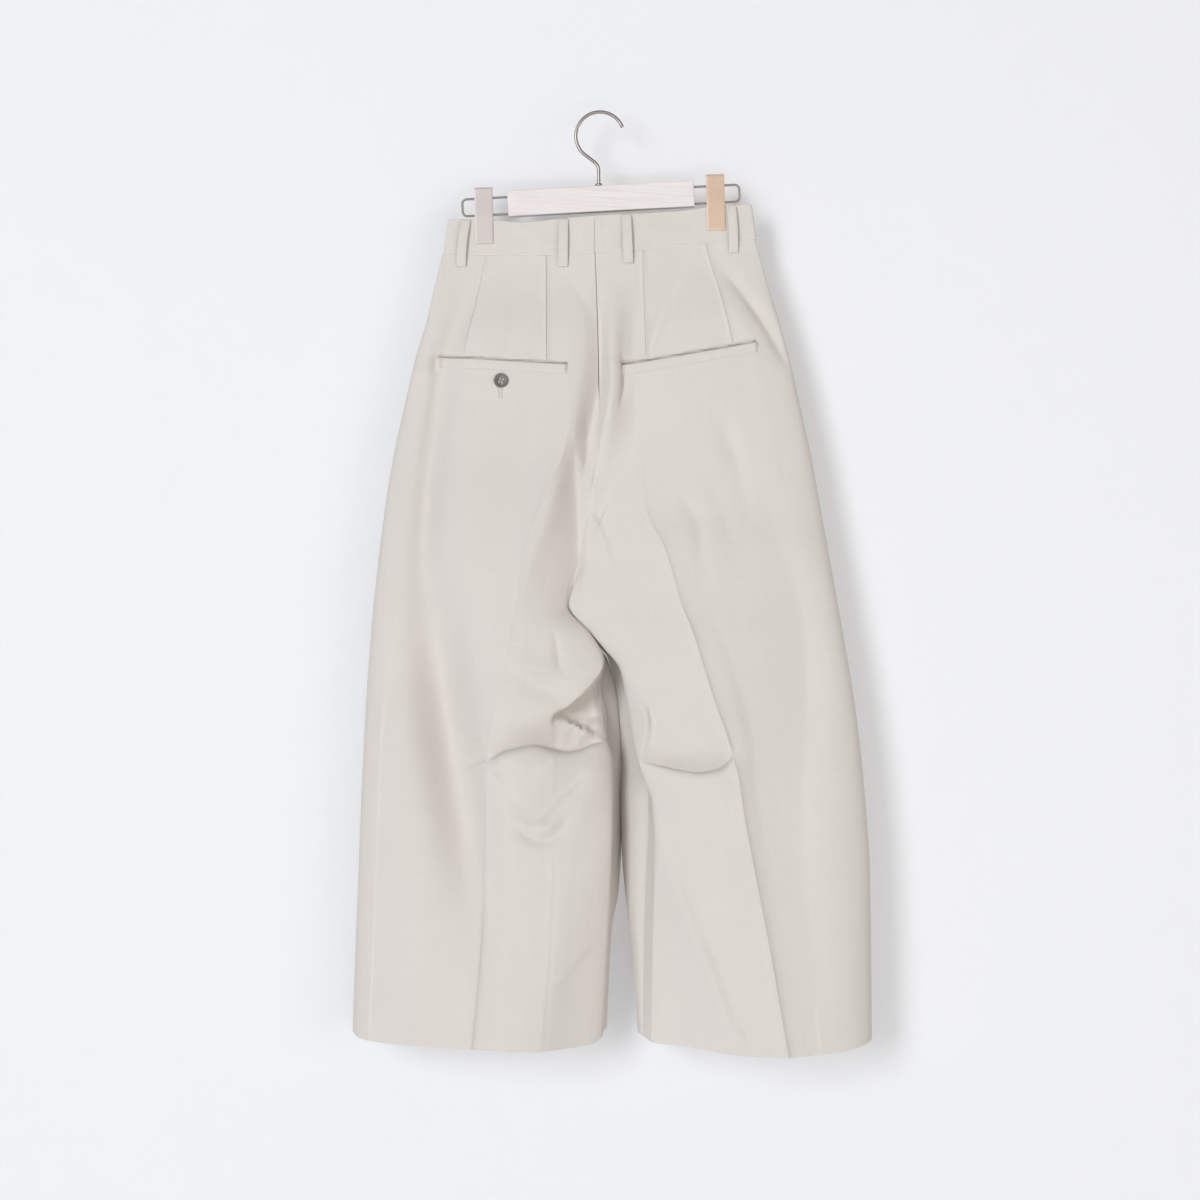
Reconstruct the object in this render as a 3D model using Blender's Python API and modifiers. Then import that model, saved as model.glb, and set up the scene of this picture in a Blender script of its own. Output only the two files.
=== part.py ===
"""Wide culottes hung by the waistband from a clip hanger.

The garment hangs with its back towards -Y and its waist, hips and hems open. The origin is the
inside top of the hanger's hook, where a rail carries it. All sizes below are in millimetres; the
meshes are made in metres.

Each cloth panel is a loft. A section at height z runs from the side seam over the pressed crease
to the inner edge, turns under it and ends at the inner seam: the centre seam above the crotch and
the inseam below it. Folds are added as ridges and troughs along short curves.
"""
import math

import bpy
import numpy as np
from mathutils import Vector
from mathutils.bvhtree import BVHTree

MM = 0.001

# Cloth and sewing
CLOTH = 1.2
BAND = 2.2
SEAM_GAP = 0.3
SEAM_PULL = 0.32
CROTCH_PULL = 0.4
CROTCH_REACH = 30.0
LIE_GAP = 0.3
LOOP_WIDTH = 10.0
LOOP_CLOTH = 1.4
LOOP_DROP = 1.0
LOOP_TAIL = 12.5
LOOP_BULGE = 2.2
WELT_HEIGHT = 10.5
BUTTON_RADIUS = 8.0
BUTTON_THICKNESS = 3.0
BUTTON_HOLE = 0.9
BUTTON_HOLE_OFFSET = 1.8
POCKET_BUTTON = (-108.0, -293.0)
POCKET_SINK = 0.8
FLY_TOP = -159.0
FLY_EDGE = 1.2
FLY_WIDTH = 36.0
FLY_LENGTH = 175.0
FLY_STRAIGHT = 0.6
FLY_ROUND = 0.43
FLY_GAP = 0.5
LAP_LENGTH = 34.0
LAP_START = 14.0
LAP_RISE = 12.0
LAP_BUTTON = (-17.0, -134.0)

# Waist: half the distance between the back and front bands, and where the clips press them
WAIST_HALF_WIDTH = 166.0
WAIST_FLARE = 0.030
BAND_GAP_MIDDLE = 8.5
BAND_GAP_CLIP = 1.9
CLIP_REACH = 124.0
CENTRE_BACK_X = -6.0
BAND_STEPS = 13
BAND_TURN_STEPS = 7

# Panels: shares of the way across where the crease and the inner edge lie, and the grid
CROTCH_Z = -566.0
CREASE_SHARE = 0.55
EDGE_SHARE = 0.88
SIDE_STEPS = (0.0, 0.04, 0.09, 0.17, 0.28, 0.42, 0.56, 0.70, 0.85)
INNER_STEPS_BACK = 7
INNER_STEPS_FRONT = 5
TURN_STEPS = 3
ROWS_ABOVE = 15
ROW_CROWDING = 1.3
ROWS_BELOW = 19
PRESS_RISE = 5.0
PRESS_WIDTH = 14.0
TOP_GUESS = -150.0
HEM_GUESS = -1012.0

# How the section changes: a pressed crease straightens the run to it, a turned edge rounds the run
# from it, and the waist and crotch blend over these heights and shares
PRESS_STRAIGHTENS_OUTER = 0.55
PRESS_STRAIGHTENS_INNER = 0.8
TURN_ROUNDS_INNER = 0.75
WAIST_BLEND = 90.0
CROTCH_BLEND = 50.0
CALM_SIDE = 0.12
CALM_EDGE = 0.2

# Hanger
HANGER_TILT = math.radians(-3.1)
HANGER_CENTRE = (1.0, -94.0)
BAR_LENGTH = 205.0
BAR_HEIGHT = 28.5
BAR_DEPTH = 12.0
BAR_ROUNDING = 1.2
HOOK_WIRE = 3.7
HOOK_RADIUS = 26.5
HOOK_TIP_ANGLE = 30.0
HOOK_LEAVE_ANGLE = 228.0
HOOK_BALL = ((-9.0, 0.55), (-7.5, 1.1), (-4.0, 1.2), (-1.5, 1.05))
HOOK_ELBOW = ((-7.0, -52.6), (-4.0, -55.4), (-2.2, -58.4), (-1.4, -62.0))
HOOK_STEM_X = -1.2
HOOK_STEM_TOP = -66.0
HOOK_GAP = 0.4
RAIL_WIRE = 2.7
RAIL_SPACING = 18.6
RAIL_REACH = 152.5
RAIL_DROP = 1.6
RAIL_CORNER = 5.0
CLIP_WIDTH = 20.0
CLIP_HEIGHT = 62.0
CLIP_PLATE = 1.2
CLIP_SHOULDER = (-22.0, -33.0)
CLIP_TILT = math.radians(-1.3)
CLIP_PLACES = {"clip_left": (-128.3, -81.2), "clip_right": (126.4, -66.8)}


def table(names, *rows):
    """A table of sizes as a dictionary of columns."""
    columns = np.array(rows, float).T
    return dict(zip(names.split(), columns))


# Side seams: half-outline of the garment
SIDE_LEFT = table(
    "z x",
    (-130, -168), (-190, -182), (-230, -191), (-270, -203), (-320, -214.5), (-370, -225.5),
    (-430, -235.5), (-540, -248.5), (-650, -257), (-830, -265), (-1020, -272))
SIDE_RIGHT = table(
    "z x",
    (-130, 168), (-190, 185), (-230, 197), (-270, 208), (-320, 219), (-370, 230),
    (-430, 241), (-540, 260.5), (-650, 279), (-740, 289), (-830, 295), (-1020, 297))

# Centre seams, from the waist to the crotch point, and the inseams from there to the hem. face is
# 0 where the cloth beside the seam runs front to back and 1 where it runs across
CENTRE_BACK = table(
    "z x y face",
    (-130, -6.5, -8, 1), (-190, -4, -12, 1), (-270, -1.5, -17, 1), (-340, -1, -19, 1),
    (-380, -3, -19, 1), (-430, -13, -18, 1), (-480, -21, -17, 1), (-540, -32, -12, 0.5),
    (-566, -22, 3, 0))
CENTRE_FRONT = table(
    "z x y face",
    (-130, 0, 8, 1), (-270, 0, 18, 1), (-400, -3, 23, 1), (-500, -10, 19, 1), (-566, -22, 3, 0))
INSEAM_LEFT = table(
    "z x y face",
    (-566, -22, 3, 0), (-600, -5, 6, 0), (-645, -11, 7, 0), (-680, -5, 3, 0), (-717, 7, -5, 0),
    (-770, 7, -5, 0), (-830, 6, -3, 0), (-920, 4.5, -1, 0), (-1020, 1, 0, 0))
INSEAM_RIGHT = table(
    "z x y face",
    (-566, -22, 3, 0), (-600, 14, 7, 0), (-640, 36, 6, 0), (-680, 44, 2, 0),
    (-720, 50, -4, 0.4), (-755, 53, -8, 1), (-860, 49, -9, 1), (-1020, 46, -10, 1))

# Sections: the crease, how hard it is pressed, the inner edge and how far the cloth turns under it
SECTION_COLUMNS = "z crease_x crease_y press edge_x edge_y turn"
BACK_LEFT = table(
    SECTION_COLUMNS,
    (-130, -56, -7, 0, -20, -8, 0),
    (-190, -52, -14, 0, -18, -13, 0),
    (-270, -42, -24, 0, -15, -20, 0),
    (-330, -32, -31, 0.1, -14, -24, 0),
    (-370, -38, -35, 0.3, -15, -22, 0),
    (-430, -64, -41, 0.5, -27, -22, 0),
    (-480, -80, -45, 0.4, -38, -23, 0),
    (-540, -91, -48, 0.3, -40, -24, 0.4),
    (-572, -97, -49, 0.3, -13, -23, 1),
    (-601, -102, -49, 0.3, 4, -22, 1),
    (-625, -107, -49, 0.3, -6, -8, 1),
    (-645, -112, -49, 0.3, -10, -3, 1),
    (-680, -119, -50, 0.3, -2, -14, 1),
    (-717, -123, -52, 0.3, 12, -24, 1),
    (-770, -123, -54, 0.5, 10.5, -20, 1),
    (-830, -124, -56, 0.9, 9, -18, 1),
    (-920, -129, -59, 1, 6.5, -17, 1),
    (-1020, -138, -62, 1, 2.5, -16, 1))
BACK_RIGHT = table(
    SECTION_COLUMNS,
    (-130, 50, -7.5, 0, 8, -9, 0),
    (-190, 51, -14, 0, 10, -14, 0),
    (-270, 51, -23, 0, 13, -20, 0),
    (-340, 50, -30, 0, 13, -24, 0),
    (-400, 46, -35, 0.1, 6, -25, 0),
    (-437, 50, -38, 0.4, -1, -24, 0),
    (-480, 70, -43, 0.6, -9, -24, 0),
    (-540, 88, -48, 0.8, -34, -24, 0.6),
    (-572, 101, -51, 0.9, -9, -25, 1),
    (-591, 107, -52, 0.9, 7, -26, 1),
    (-608, 112, -53, 0.9, 21, -27, 1),
    (-640, 122, -55, 0.9, 28, -28, 1),
    (-680, 136, -58, 0.9, 34.5, -28, 1),
    (-720, 148, -60, 0.9, 43, -26, 0.8),
    (-755, 153, -62, 1, 56, -22, 0.4),
    (-800, 161, -63, 1, 60, -19, 0),
    (-900, 180, -66, 1, 58, -18, 0),
    (-1020, 201, -68, 1, 56, -18, 0))
FRONT_LEFT = table(
    SECTION_COLUMNS,
    (-130, -62, 6.5, 0, -14, 8, 0),
    (-270, -76, 19, 0, -14, 19, 0),
    (-400, -92, 27, 0.3, -18, 25, 0),
    (-500, -102, 31, 0.5, -24, 24, 0.2),
    (-566, -108, 33, 0.6, -27, 14, 0.6),
    (-600, -110, 33.5, 0.6, -4, 14, 1),
    (-650, -114, 34.5, 0.6, 5, 19, 1),
    (-720, -120, 36, 0.7, 19, 18, 1),
    (-800, -125, 38, 0.8, 20, 14, 1),
    (-900, -131, 40, 0.9, 13, 9, 1),
    (-1020, -138, 42, 1, 7, 7, 1))
FRONT_RIGHT = table(
    SECTION_COLUMNS,
    (-130, 62, 6.5, 0, 14, 8, 0),
    (-270, 78, 19, 0, 14, 19, 0),
    (-400, 96, 27, 0.3, 12, 25, 0),
    (-500, 108, 31, 0.5, 6, 24, 0.2),
    (-566, 118, 33, 0.6, -17, 13, 0.6),
    (-600, 124, 34, 0.6, 9, 13, 1),
    (-640, 130, 34.5, 0.6, 24, 12, 1),
    (-680, 137, 35, 0.7, 27, 10, 1),
    (-740, 146, 36, 0.8, 27, 8, 1),
    (-820, 158, 38, 0.9, 29.5, 6, 1),
    (-910, 172, 40, 1, 34, 4, 1),
    (-1020, 190, 42, 1, 42, 2, 1))

# Edges of the band and hems, seen from the back: height against x
BAND_TOP = table(
    "x z",
    (-170, -115.5), (-110, -118), (-82, -120), (-55, -117.5), (0, -113), (45, -110.5),
    (90, -107), (140, -100.5), (170, -100))
BAND_FOOT = table(
    "x z",
    (-180, -154.5), (-130, -156.8), (-60, -157.3), (0, -154.5), (45, -151.5), (110, -144.7),
    (170, -138.5))
HEM_LEFT = table(
    "x z",
    (-272, -1004), (-262, -1010), (-215, -1013), (-138, -1016), (-60, -1018.5), (-10, -1016),
    (8, -1006))
HEM_RIGHT = table(
    "x z",
    (41, -1008), (47, -1011), (56, -1015), (100, -1017), (150, -1022), (201, -1023),
    (260, -1019), (290, -1013), (304, -1007))

# Folds: a curve through three points, its height there (troughs are negative), and its reach to
# the left and right of the run from the first point to the last
FOLD_COLUMNS = "x0 z0 x1 z1 x2 z2 h0 h1 h2 left right"
BACK_FOLDS = table(
    FOLD_COLUMNS,
    (-19, -296, -34, -359, -76, -461, 4, 6, 4, 14, 16),       # ridge from the left welt's end
    (-8, -200, -4, -264, -17, -359, -3, -6, -6, 8, 9),        # hollow left of the centre seam
    (-35, -374, -40, -447, -80, -530, -5, -11, -4, 14, 12),   # hollow under the seat, left
    (-214, -491, -182, -674, -138, -898, -2, -10, -4, 30, 40),  # long soft hollow, left leg
    (-134, -163, -169, -231, -189, -337, -2, -4, -1, 16, 16),   # left hip
    (-6, -620, -26, -640, -50, -664, -10, -14, -10, 20, 9),     # pocket under the overhanging fold
    (-118, -706, -65, -697, -12, -694, -5, -9, -4, 15, 8),      # crumple across the left knee
    (-95, -603, -60, -617, -10, -613, 3, 6, 3, 10, 12),         # bulge above it
    (30, -190, 20, -258, 18, -337, -2, -4, -4, 12, 8),          # hollow right of the centre seam
    (25, -352, 17, -375, 2, -405, -3, -6, -3, 12, 10),          # its foot
    (123, -148, 166, -200, 198, -245, -1, -5, -2, 14, 14),      # right hip
    (60, -765, 104, -900, 140, -1016, 7, 4, 3, 22, 16),         # soft ridge, right leg
    (48, -716, 106, -723, 140, -708, -5, -8, -3, 12, 8),        # crumple across the right knee
    (226, -579, 208, -660, 174, -705, -1, -4, -2, 30, 26))      # broad hollow, right thigh
FRONT_FOLDS = table(
    FOLD_COLUMNS,
    (-40, -300, -60, -420, -90, -540, -1, -5, -2, 20, 20),
    (48, -300, 60, -420, 90, -540, -1, -5, -2, 20, 20),
    (-200, -520, -178, -700, -150, -900, -1, -6, -3, 30, 30),
    (218, -520, 206, -700, 196, -900, -1, -6, -3, 30, 30))

# Belt loops: position along the band and lean of the foot, and the side they are on
LOOPS = {
    "loop_back_outer_left": (-147.0, -5.5, -1),
    "loop_back_inner_left": (-40.0, -0.6, -1),
    "loop_back_inner_right": (29.0, 2.2, -1),
    "loop_back_outer_right": (144.0, 2.6, -1),
    "loop_front_left": (-92.0, -1.5, 1),
    "loop_front_right": (92.0, 1.5, 1),
}

# Pocket welts: points on the upper edge
WELT_LINES = {
    "welt_left": ((-176.0, -265.0), (-110.0, -269.5), (-36.0, -276.0)),
    "welt_right": ((26.5, -275.0), (88.0, -263.0), (171.5, -250.5)),
}

# Button: its turned outline as shares of the radius and the thickness
BUTTON_PROFILE = (
    (0.0, 0.55), (0.62, 0.55), (0.74, 0.95), (0.88, 1.0), (1.0, 0.7), (0.96, 0.25), (0.7, 0.0),
    (0.0, 0.0))

# Colours, linear
CLOTH_COLOUR = (0.68, 0.64, 0.59)
WOOD_COLOUR = (0.79, 0.73, 0.70)
NICKEL_COLOUR = (0.45, 0.42, 0.39)
TAUPE_COLOUR = (0.62, 0.56, 0.53)
COPPER_COLOUR = (0.70, 0.53, 0.40)
HORN_COLOUR = (0.26, 0.23, 0.21)


# ---------------------------------------------------------------- curves and surfaces

def along(value, columns, name, key="z"):
    """A table column read at a height: a cubic curve that never overshoots its rows."""
    order = np.argsort(columns[key])
    knots = columns[key][order]
    heights = columns[name][order]
    steps = np.diff(knots)
    rises = np.diff(heights) / steps
    slopes = np.concatenate(([rises[0]], np.zeros(len(rises) - 1), [rises[-1]]))
    same = rises[:-1] * rises[1:] > 0.0
    total = np.where(same, rises[:-1] + rises[1:], 1.0)
    slopes[1:-1] = np.where(same, 2.0 * rises[:-1] * rises[1:] / total, 0.0)
    cell = np.clip(np.searchsorted(knots, value) - 1, 0, len(steps) - 1)
    share = (value - knots[cell]) / steps[cell]
    rest = 1.0 - share
    start = heights[cell] * rest * rest * (1.0 + 2.0 * share)
    end = heights[cell + 1] * share * share * (3.0 - 2.0 * share)
    bend = share * rest * (rest * slopes[cell] - share * slopes[cell + 1]) * steps[cell]
    return start + end + bend


def smooth_step(share):
    """0 below 0, 1 above 1, and a smooth rise between."""
    share = np.clip(share, 0.0, 1.0)
    return share * share * (3.0 - 2.0 * share)


def dome(share):
    """A quarter circle's rise: upright at 0, level at 1."""
    return np.sqrt(np.clip(1.0 - (1.0 - share) ** 2, 0.0, 1.0))


def mix(first, second, share):
    return first + (second - first) * share


def band_gap(x):
    """Half the distance between the two layers of the waistband at x."""
    share = np.clip(np.abs(x) / CLIP_REACH, 0.0, 1.0)
    return BAND_GAP_CLIP + (BAND_GAP_MIDDLE - BAND_GAP_CLIP) * np.cos(share * math.pi / 2) ** 2


def fold_height(x, z, folds):
    """Sum of the folds at (x, z): each falls off with the distance from its curve."""
    total = np.zeros_like(x)
    steps = np.linspace(0.0, 1.0, 11)
    for row in range(len(folds["x0"])):
        fold = {name: column[row] for name, column in folds.items()}
        middle_x = 2.0 * fold["x1"] - (fold["x0"] + fold["x2"]) / 2
        middle_z = 2.0 * fold["z1"] - (fold["z0"] + fold["z2"]) / 2
        weights = ((1 - steps) ** 2, 2 * steps * (1 - steps), steps ** 2)
        path_x = weights[0] * fold["x0"] + weights[1] * middle_x + weights[2] * fold["x2"]
        path_z = weights[0] * fold["z0"] + weights[1] * middle_z + weights[2] * fold["z2"]
        best = np.full_like(x, np.inf)
        side = np.zeros_like(x)
        place = np.zeros_like(x)
        for i in range(len(steps) - 1):
            run_x = path_x[i + 1] - path_x[i]
            run_z = path_z[i + 1] - path_z[i]
            length = run_x * run_x + run_z * run_z
            share = np.clip(((x - path_x[i]) * run_x + (z - path_z[i]) * run_z) / length, 0, 1)
            off_x = x - path_x[i] - share * run_x
            off_z = z - path_z[i] - share * run_z
            distance = np.hypot(off_x, off_z)
            nearer = distance < best
            best = np.where(nearer, distance, best)
            side = np.where(nearer, run_x * off_z - run_z * off_x, side)
            place = np.where(nearer, (i + share) / (len(steps) - 1), place)
        reach = np.where(side > 0.0, fold["left"], fold["right"])
        height = np.interp(place, (0.0, 0.5, 1.0), (fold["h0"], fold["h1"], fold["h2"]))
        total += height * np.exp(-(best / reach) ** 2)
    return total


class Panel:
    """One cloth panel: its seams, sections and folds, and the side it faces."""

    def __init__(self, side, centre, inseam, sections, hem, folds, facing):
        self.side = side
        self.centre = centre
        self.inseam = inseam
        self.sections = sections
        self.hem = hem
        self.folds = folds
        self.facing = facing

    def inner_seam(self, z, name):
        above = along(z, self.centre, name)
        below = along(z, self.inseam, name)
        return np.where(z > CROTCH_Z, above, below)

    def surface(self, share, z):
        """x and y of the outer face at a share of the way across and a height."""
        crease_x = along(z, self.sections, "crease_x")
        crease_y = along(z, self.sections, "crease_y")
        press = along(z, self.sections, "press")
        edge_x = along(z, self.sections, "edge_x")
        edge_y = along(z, self.sections, "edge_y")
        turn = along(z, self.sections, "turn")
        side_x = along(z, self.side, "x")
        seam_x = self.inner_seam(z, "x")
        seam_y = self.inner_seam(z, "y")
        face = self.inner_seam(z, "face")

        outer = 1.0 - np.cos(np.clip(share / CREASE_SHARE, 0, 1) * math.pi / 2)
        inner = np.clip((EDGE_SHARE - share) / (EDGE_SHARE - CREASE_SHARE), 0, 1)
        under = np.clip((share - EDGE_SHARE) / (1.0 - EDGE_SHARE), 0, 1)
        outer_rise = mix(dome(outer), outer, PRESS_STRAIGHTENS_OUTER * press)
        flat_rise = mix(np.sin(inner * math.pi / 2), inner, PRESS_STRAIGHTENS_INNER * press)
        inner_rise = mix(flat_rise, dome(inner), TURN_ROUNDS_INNER * turn)

        x = np.where(share < CREASE_SHARE, mix(side_x, crease_x, outer),
                     mix(edge_x, crease_x, inner))
        roll = self.facing * BAND_GAP_CLIP * dome(np.minimum(np.abs(x - side_x) / BAND_GAP_CLIP, 1))
        y = np.where(share < CREASE_SHARE, mix(roll, crease_y, outer_rise),
                     mix(edge_y, crease_y, inner_rise))
        turn_x = mix(smooth_step(under), 1.0 - np.cos(under * math.pi / 2), face)
        turn_y = mix(under, np.sin(under * math.pi / 2), face)
        across = mix(under, turn_x, turn)
        back = mix(under, turn_y, turn)
        x = np.where(share > EDGE_SHARE, mix(edge_x, seam_x, across), x)
        y = np.where(share > EDGE_SHARE, mix(edge_y, seam_y, back), y)

        waist = smooth_step((along(x, BAND_FOOT, "z", "x") - z) / WAIST_BLEND)
        y = mix(roll * band_gap(x) / BAND_GAP_CLIP, y, waist)
        held = smooth_step((z - CROTCH_Z) / CROTCH_BLEND)
        inward = mix(smooth_step(inner / CALM_EDGE), 1.0, held)
        calm = smooth_step(outer / CALM_SIDE) * waist * inward * (1.0 - under * (1.0 - held))
        ridge = PRESS_RISE * press * np.exp(-np.abs(x - crease_x) / PRESS_WIDTH)
        ridge = np.where(share > EDGE_SHARE, 0.0, ridge)
        y = y + self.facing * calm * (fold_height(x, z, self.folds) + ridge)
        return x, y

    def grid(self, inner_steps):
        """Points of the outer face, rows from waist to hem and columns from side to seam."""
        outer = np.array(SIDE_STEPS) * CREASE_SHARE
        inner = np.linspace(CREASE_SHARE, EDGE_SHARE, inner_steps, endpoint=False)
        under = np.linspace(EDGE_SHARE, 1.0, TURN_STEPS + 1)
        shares = np.concatenate((outer, inner, under))[None, :]
        top = np.full_like(shares, TOP_GUESS)
        hem = np.full_like(shares, HEM_GUESS)
        for _ in range(3):
            top = along(self.surface(shares, top)[0], BAND_FOOT, "z", "x") - SEAM_GAP
            hem = along(self.surface(shares, hem)[0], self.hem, "z", "x")
        down = 1.0 - np.linspace(1.0, 0.0, ROWS_ABOVE + 1)[:-1, None] ** ROW_CROWDING
        below = np.linspace(0.0, 1.0, ROWS_BELOW + 1)[:, None]
        z = np.concatenate((mix(top, CROTCH_Z, down), mix(CROTCH_Z, hem, below)))
        shares = np.broadcast_to(shares, z.shape)
        x, y = self.surface(shares, z)
        points = np.stack((x, y, z), axis=-1)
        near_crotch = np.exp(-((z[:, -1:] - CROTCH_Z) / CROTCH_REACH) ** 2)
        for edge, neighbour, more in ((0, 1, 0.0), (-1, -2, CROTCH_PULL)):
            inward = points[:, neighbour] - points[:, edge]
            inward /= np.linalg.norm(inward, axis=-1, keepdims=True)
            points[:, edge] += (SEAM_PULL + more * near_crotch) * inward
        return points


PANELS = {
    "back_left": Panel(SIDE_LEFT, CENTRE_BACK, INSEAM_LEFT, BACK_LEFT, HEM_LEFT, BACK_FOLDS, -1),
    "back_right": Panel(SIDE_RIGHT, CENTRE_BACK, INSEAM_RIGHT, BACK_RIGHT, HEM_RIGHT,
                        BACK_FOLDS, -1),
    "front_left": Panel(SIDE_LEFT, CENTRE_FRONT, INSEAM_LEFT, FRONT_LEFT, HEM_LEFT,
                        FRONT_FOLDS, 1),
    "front_right": Panel(SIDE_RIGHT, CENTRE_FRONT, INSEAM_RIGHT, FRONT_RIGHT, HEM_RIGHT,
                         FRONT_FOLDS, 1),
}


# ---------------------------------------------------------------- objects and materials

def clear_scene():
    for item in list(bpy.data.objects):
        bpy.data.objects.remove(item, do_unlink=True)


def make_collection(name):
    group = bpy.data.collections.new(name)
    bpy.context.scene.collection.children.link(group)
    return group


def make_material(name, colour, roughness, metallic=0.0):
    material = bpy.data.materials.new(name)
    material.use_nodes = True
    shader = material.node_tree.nodes["Principled BSDF"]
    shader.inputs["Base Color"].default_value = (*colour, 1.0)
    shader.inputs["Roughness"].default_value = roughness
    shader.inputs["Metallic"].default_value = metallic
    material.diffuse_color = (*colour, 1.0)
    return material


def add_object(name, data, group, material):
    item = bpy.data.objects.new(name, data)
    data.materials.append(material)
    group.objects.link(item)
    return item


def add_sheet(name, points, group, material, thickness, offset=-1.0, flip=False):
    """A cloth or plate from a grid of points in millimetres, given its thickness by Solidify."""
    rows, columns = points.shape[:2]
    index = np.arange(rows * columns).reshape(rows, columns)
    corners = (index[:-1, :-1], index[:-1, 1:], index[1:, 1:], index[1:, :-1])
    faces = np.stack(corners, axis=-1).reshape(-1, 4)
    if flip:
        faces = faces[:, ::-1]
    mesh = bpy.data.meshes.new(name)
    mesh.from_pydata((points.reshape(-1, 3) * MM).tolist(), [], faces.tolist())
    mesh.shade_smooth()
    item = add_object(name, mesh, group, material)
    wall = item.modifiers.new("Wall", "SOLIDIFY")
    wall.thickness = thickness * MM
    wall.offset = offset
    return item


def add_wire(name, points, diameter, group, material, radii=None):
    """A round wire along a list of (x, z) points in the plane y = 0."""
    curve = bpy.data.curves.new(name, "CURVE")
    curve.dimensions = "3D"
    curve.bevel_depth = diameter / 2 * MM
    curve.bevel_resolution = 2
    curve.use_fill_caps = True
    spline = curve.splines.new("POLY")
    spline.points.add(len(points) - 1)
    for i, (x, z) in enumerate(points):
        spline.points[i].co = (x * MM, 0.0, z * MM, 1.0)
        if radii:
            spline.points[i].radius = radii[i]
    return add_object(name, curve, group, material)


def arc(centre, radius, start, end, steps):
    """Points (x, z) on an arc, from one angle to another in degrees."""
    angles = [math.radians(start + (end - start) * i / steps) for i in range(steps + 1)]
    return [(centre[0] + radius * math.cos(a), centre[1] + radius * math.sin(a)) for a in angles]


class Faces:
    """The outer faces of the finished panels and band, to lay pieces on."""

    def __init__(self, names):
        depsgraph = bpy.context.evaluated_depsgraph_get()
        self.trees = [BVHTree.FromObject(bpy.data.objects[name], depsgraph) for name in names]

    def at(self, x, z, facing):
        """y of the outermost face over (x, z), read just above and below it to span a seam."""
        hits = []
        for height in (z - SEAM_GAP, z, z + SEAM_GAP):
            start = Vector((x * MM, facing, height * MM))
            hits += [tree.ray_cast(start, Vector((0.0, -facing, 0.0)))[0] for tree in self.trees]
        return facing * max(facing * hit.y for hit in hits if hit) / MM


# ---------------------------------------------------------------- the garment

def make_panels(group, cloth):
    for name, panel in PANELS.items():
        steps = INNER_STEPS_BACK if panel.facing < 0 else INNER_STEPS_FRONT
        points = panel.grid(steps)
        flip = name in ("back_left", "front_right")
        add_sheet(name, points, group, cloth, CLOTH, flip=flip)


def band_path(hand, front_end):
    """Plan of half the waistband: centre back, side turn, centre front. hand is -1 or 1."""
    side = WAIST_HALF_WIDTH - BAND_GAP_CLIP
    start = CENTRE_BACK_X + hand * SEAM_GAP / 2
    back_x = np.linspace(start, hand * side, BAND_STEPS)
    front_x = np.linspace(hand * side, front_end, BAND_STEPS)
    turn = np.radians(np.linspace(-90.0, 90.0, BAND_TURN_STEPS))[1:-1]
    turn_x = hand * (side + BAND_GAP_CLIP * np.cos(turn))
    turn_y = BAND_GAP_CLIP * np.sin(turn)
    x = np.concatenate((back_x, turn_x, front_x))
    y = np.concatenate((-band_gap(back_x), turn_y, band_gap(front_x)))
    return x, y


def make_waistband(group, cloth):
    """Two halves; the right one laps over the left at the front."""
    for name, hand, front_end in (("waistband_left", -1, -SEAM_GAP / 2),
                                  ("waistband_right", 1, -LAP_LENGTH)):
        x, y = band_path(hand, front_end)
        if hand > 0:
            lap = smooth_step((LAP_START - x) / LAP_RISE) * (y > 0.0)
            y = y + lap * (BAND + LIE_GAP)
        rows = []
        for share in (0.0, 0.5, 1.0):
            wide = x * (1.0 + WAIST_FLARE * share)
            top = along(wide, BAND_TOP, "z", "x")
            foot = along(wide, BAND_FOOT, "z", "x")
            rows.append(np.stack((wide, y, mix(top, foot, share)), axis=-1))
        add_sheet(name, np.array(rows), group, cloth, BAND, offset=0.0, flip=hand > 0)


def make_loops(group, cloth, faces):
    """Belt loops: strips sewn down at the band's top and below its foot, proud between."""
    for name, (centre, lean, facing) in LOOPS.items():
        corners = np.array((centre - LOOP_WIDTH / 2, centre + LOOP_WIDTH / 2))
        top = float(np.min(along(corners, BAND_TOP, "z", "x"))) - LOOP_DROP
        foot = float(along(np.array(centre), BAND_FOOT, "z", "x")) - LOOP_TAIL
        rows = []
        for share in np.linspace(0.0, 1.0, 9):
            z = mix(top, foot, share)
            middle = centre + lean * share
            bulge = LOOP_BULGE * math.sin(math.pi * share) ** 0.6
            edges = (middle - LOOP_WIDTH / 2, middle, middle + LOOP_WIDTH / 2)
            highest = max(facing * faces.at(x, z, facing) for x in edges)
            y = facing * (highest + LIE_GAP + bulge)
            rows.append([(x, y, z) for x in edges])
        add_sheet(name, np.array(rows), group, cloth, LOOP_CLOTH, offset=1.0, flip=facing < 0)


def strip_on_panel(faces, top_points, height, facing, columns=15):
    """Grid of a strip that hangs below a line of (x, z) points, just clear of the panel."""
    knots_x, knots_z = np.array(top_points, float).T
    x = np.linspace(knots_x[0], knots_x[-1], columns)
    z = np.interp(x, knots_x, knots_z)
    rows = []
    for drop in (0.0, height / 2, height):
        y = [faces.at(px, pz - drop, facing) + facing * LIE_GAP for px, pz in zip(x, z)]
        rows.append(np.stack((x, np.array(y), z - drop), axis=-1))
    return np.array(rows)


def make_welts(group, cloth, faces):
    """Strips below the pocket openings of the back."""
    for name, line in WELT_LINES.items():
        points = strip_on_panel(faces, line, WELT_HEIGHT, -1)
        add_sheet(name, points, group, cloth, CLOTH, offset=1.0, flip=True)


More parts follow.
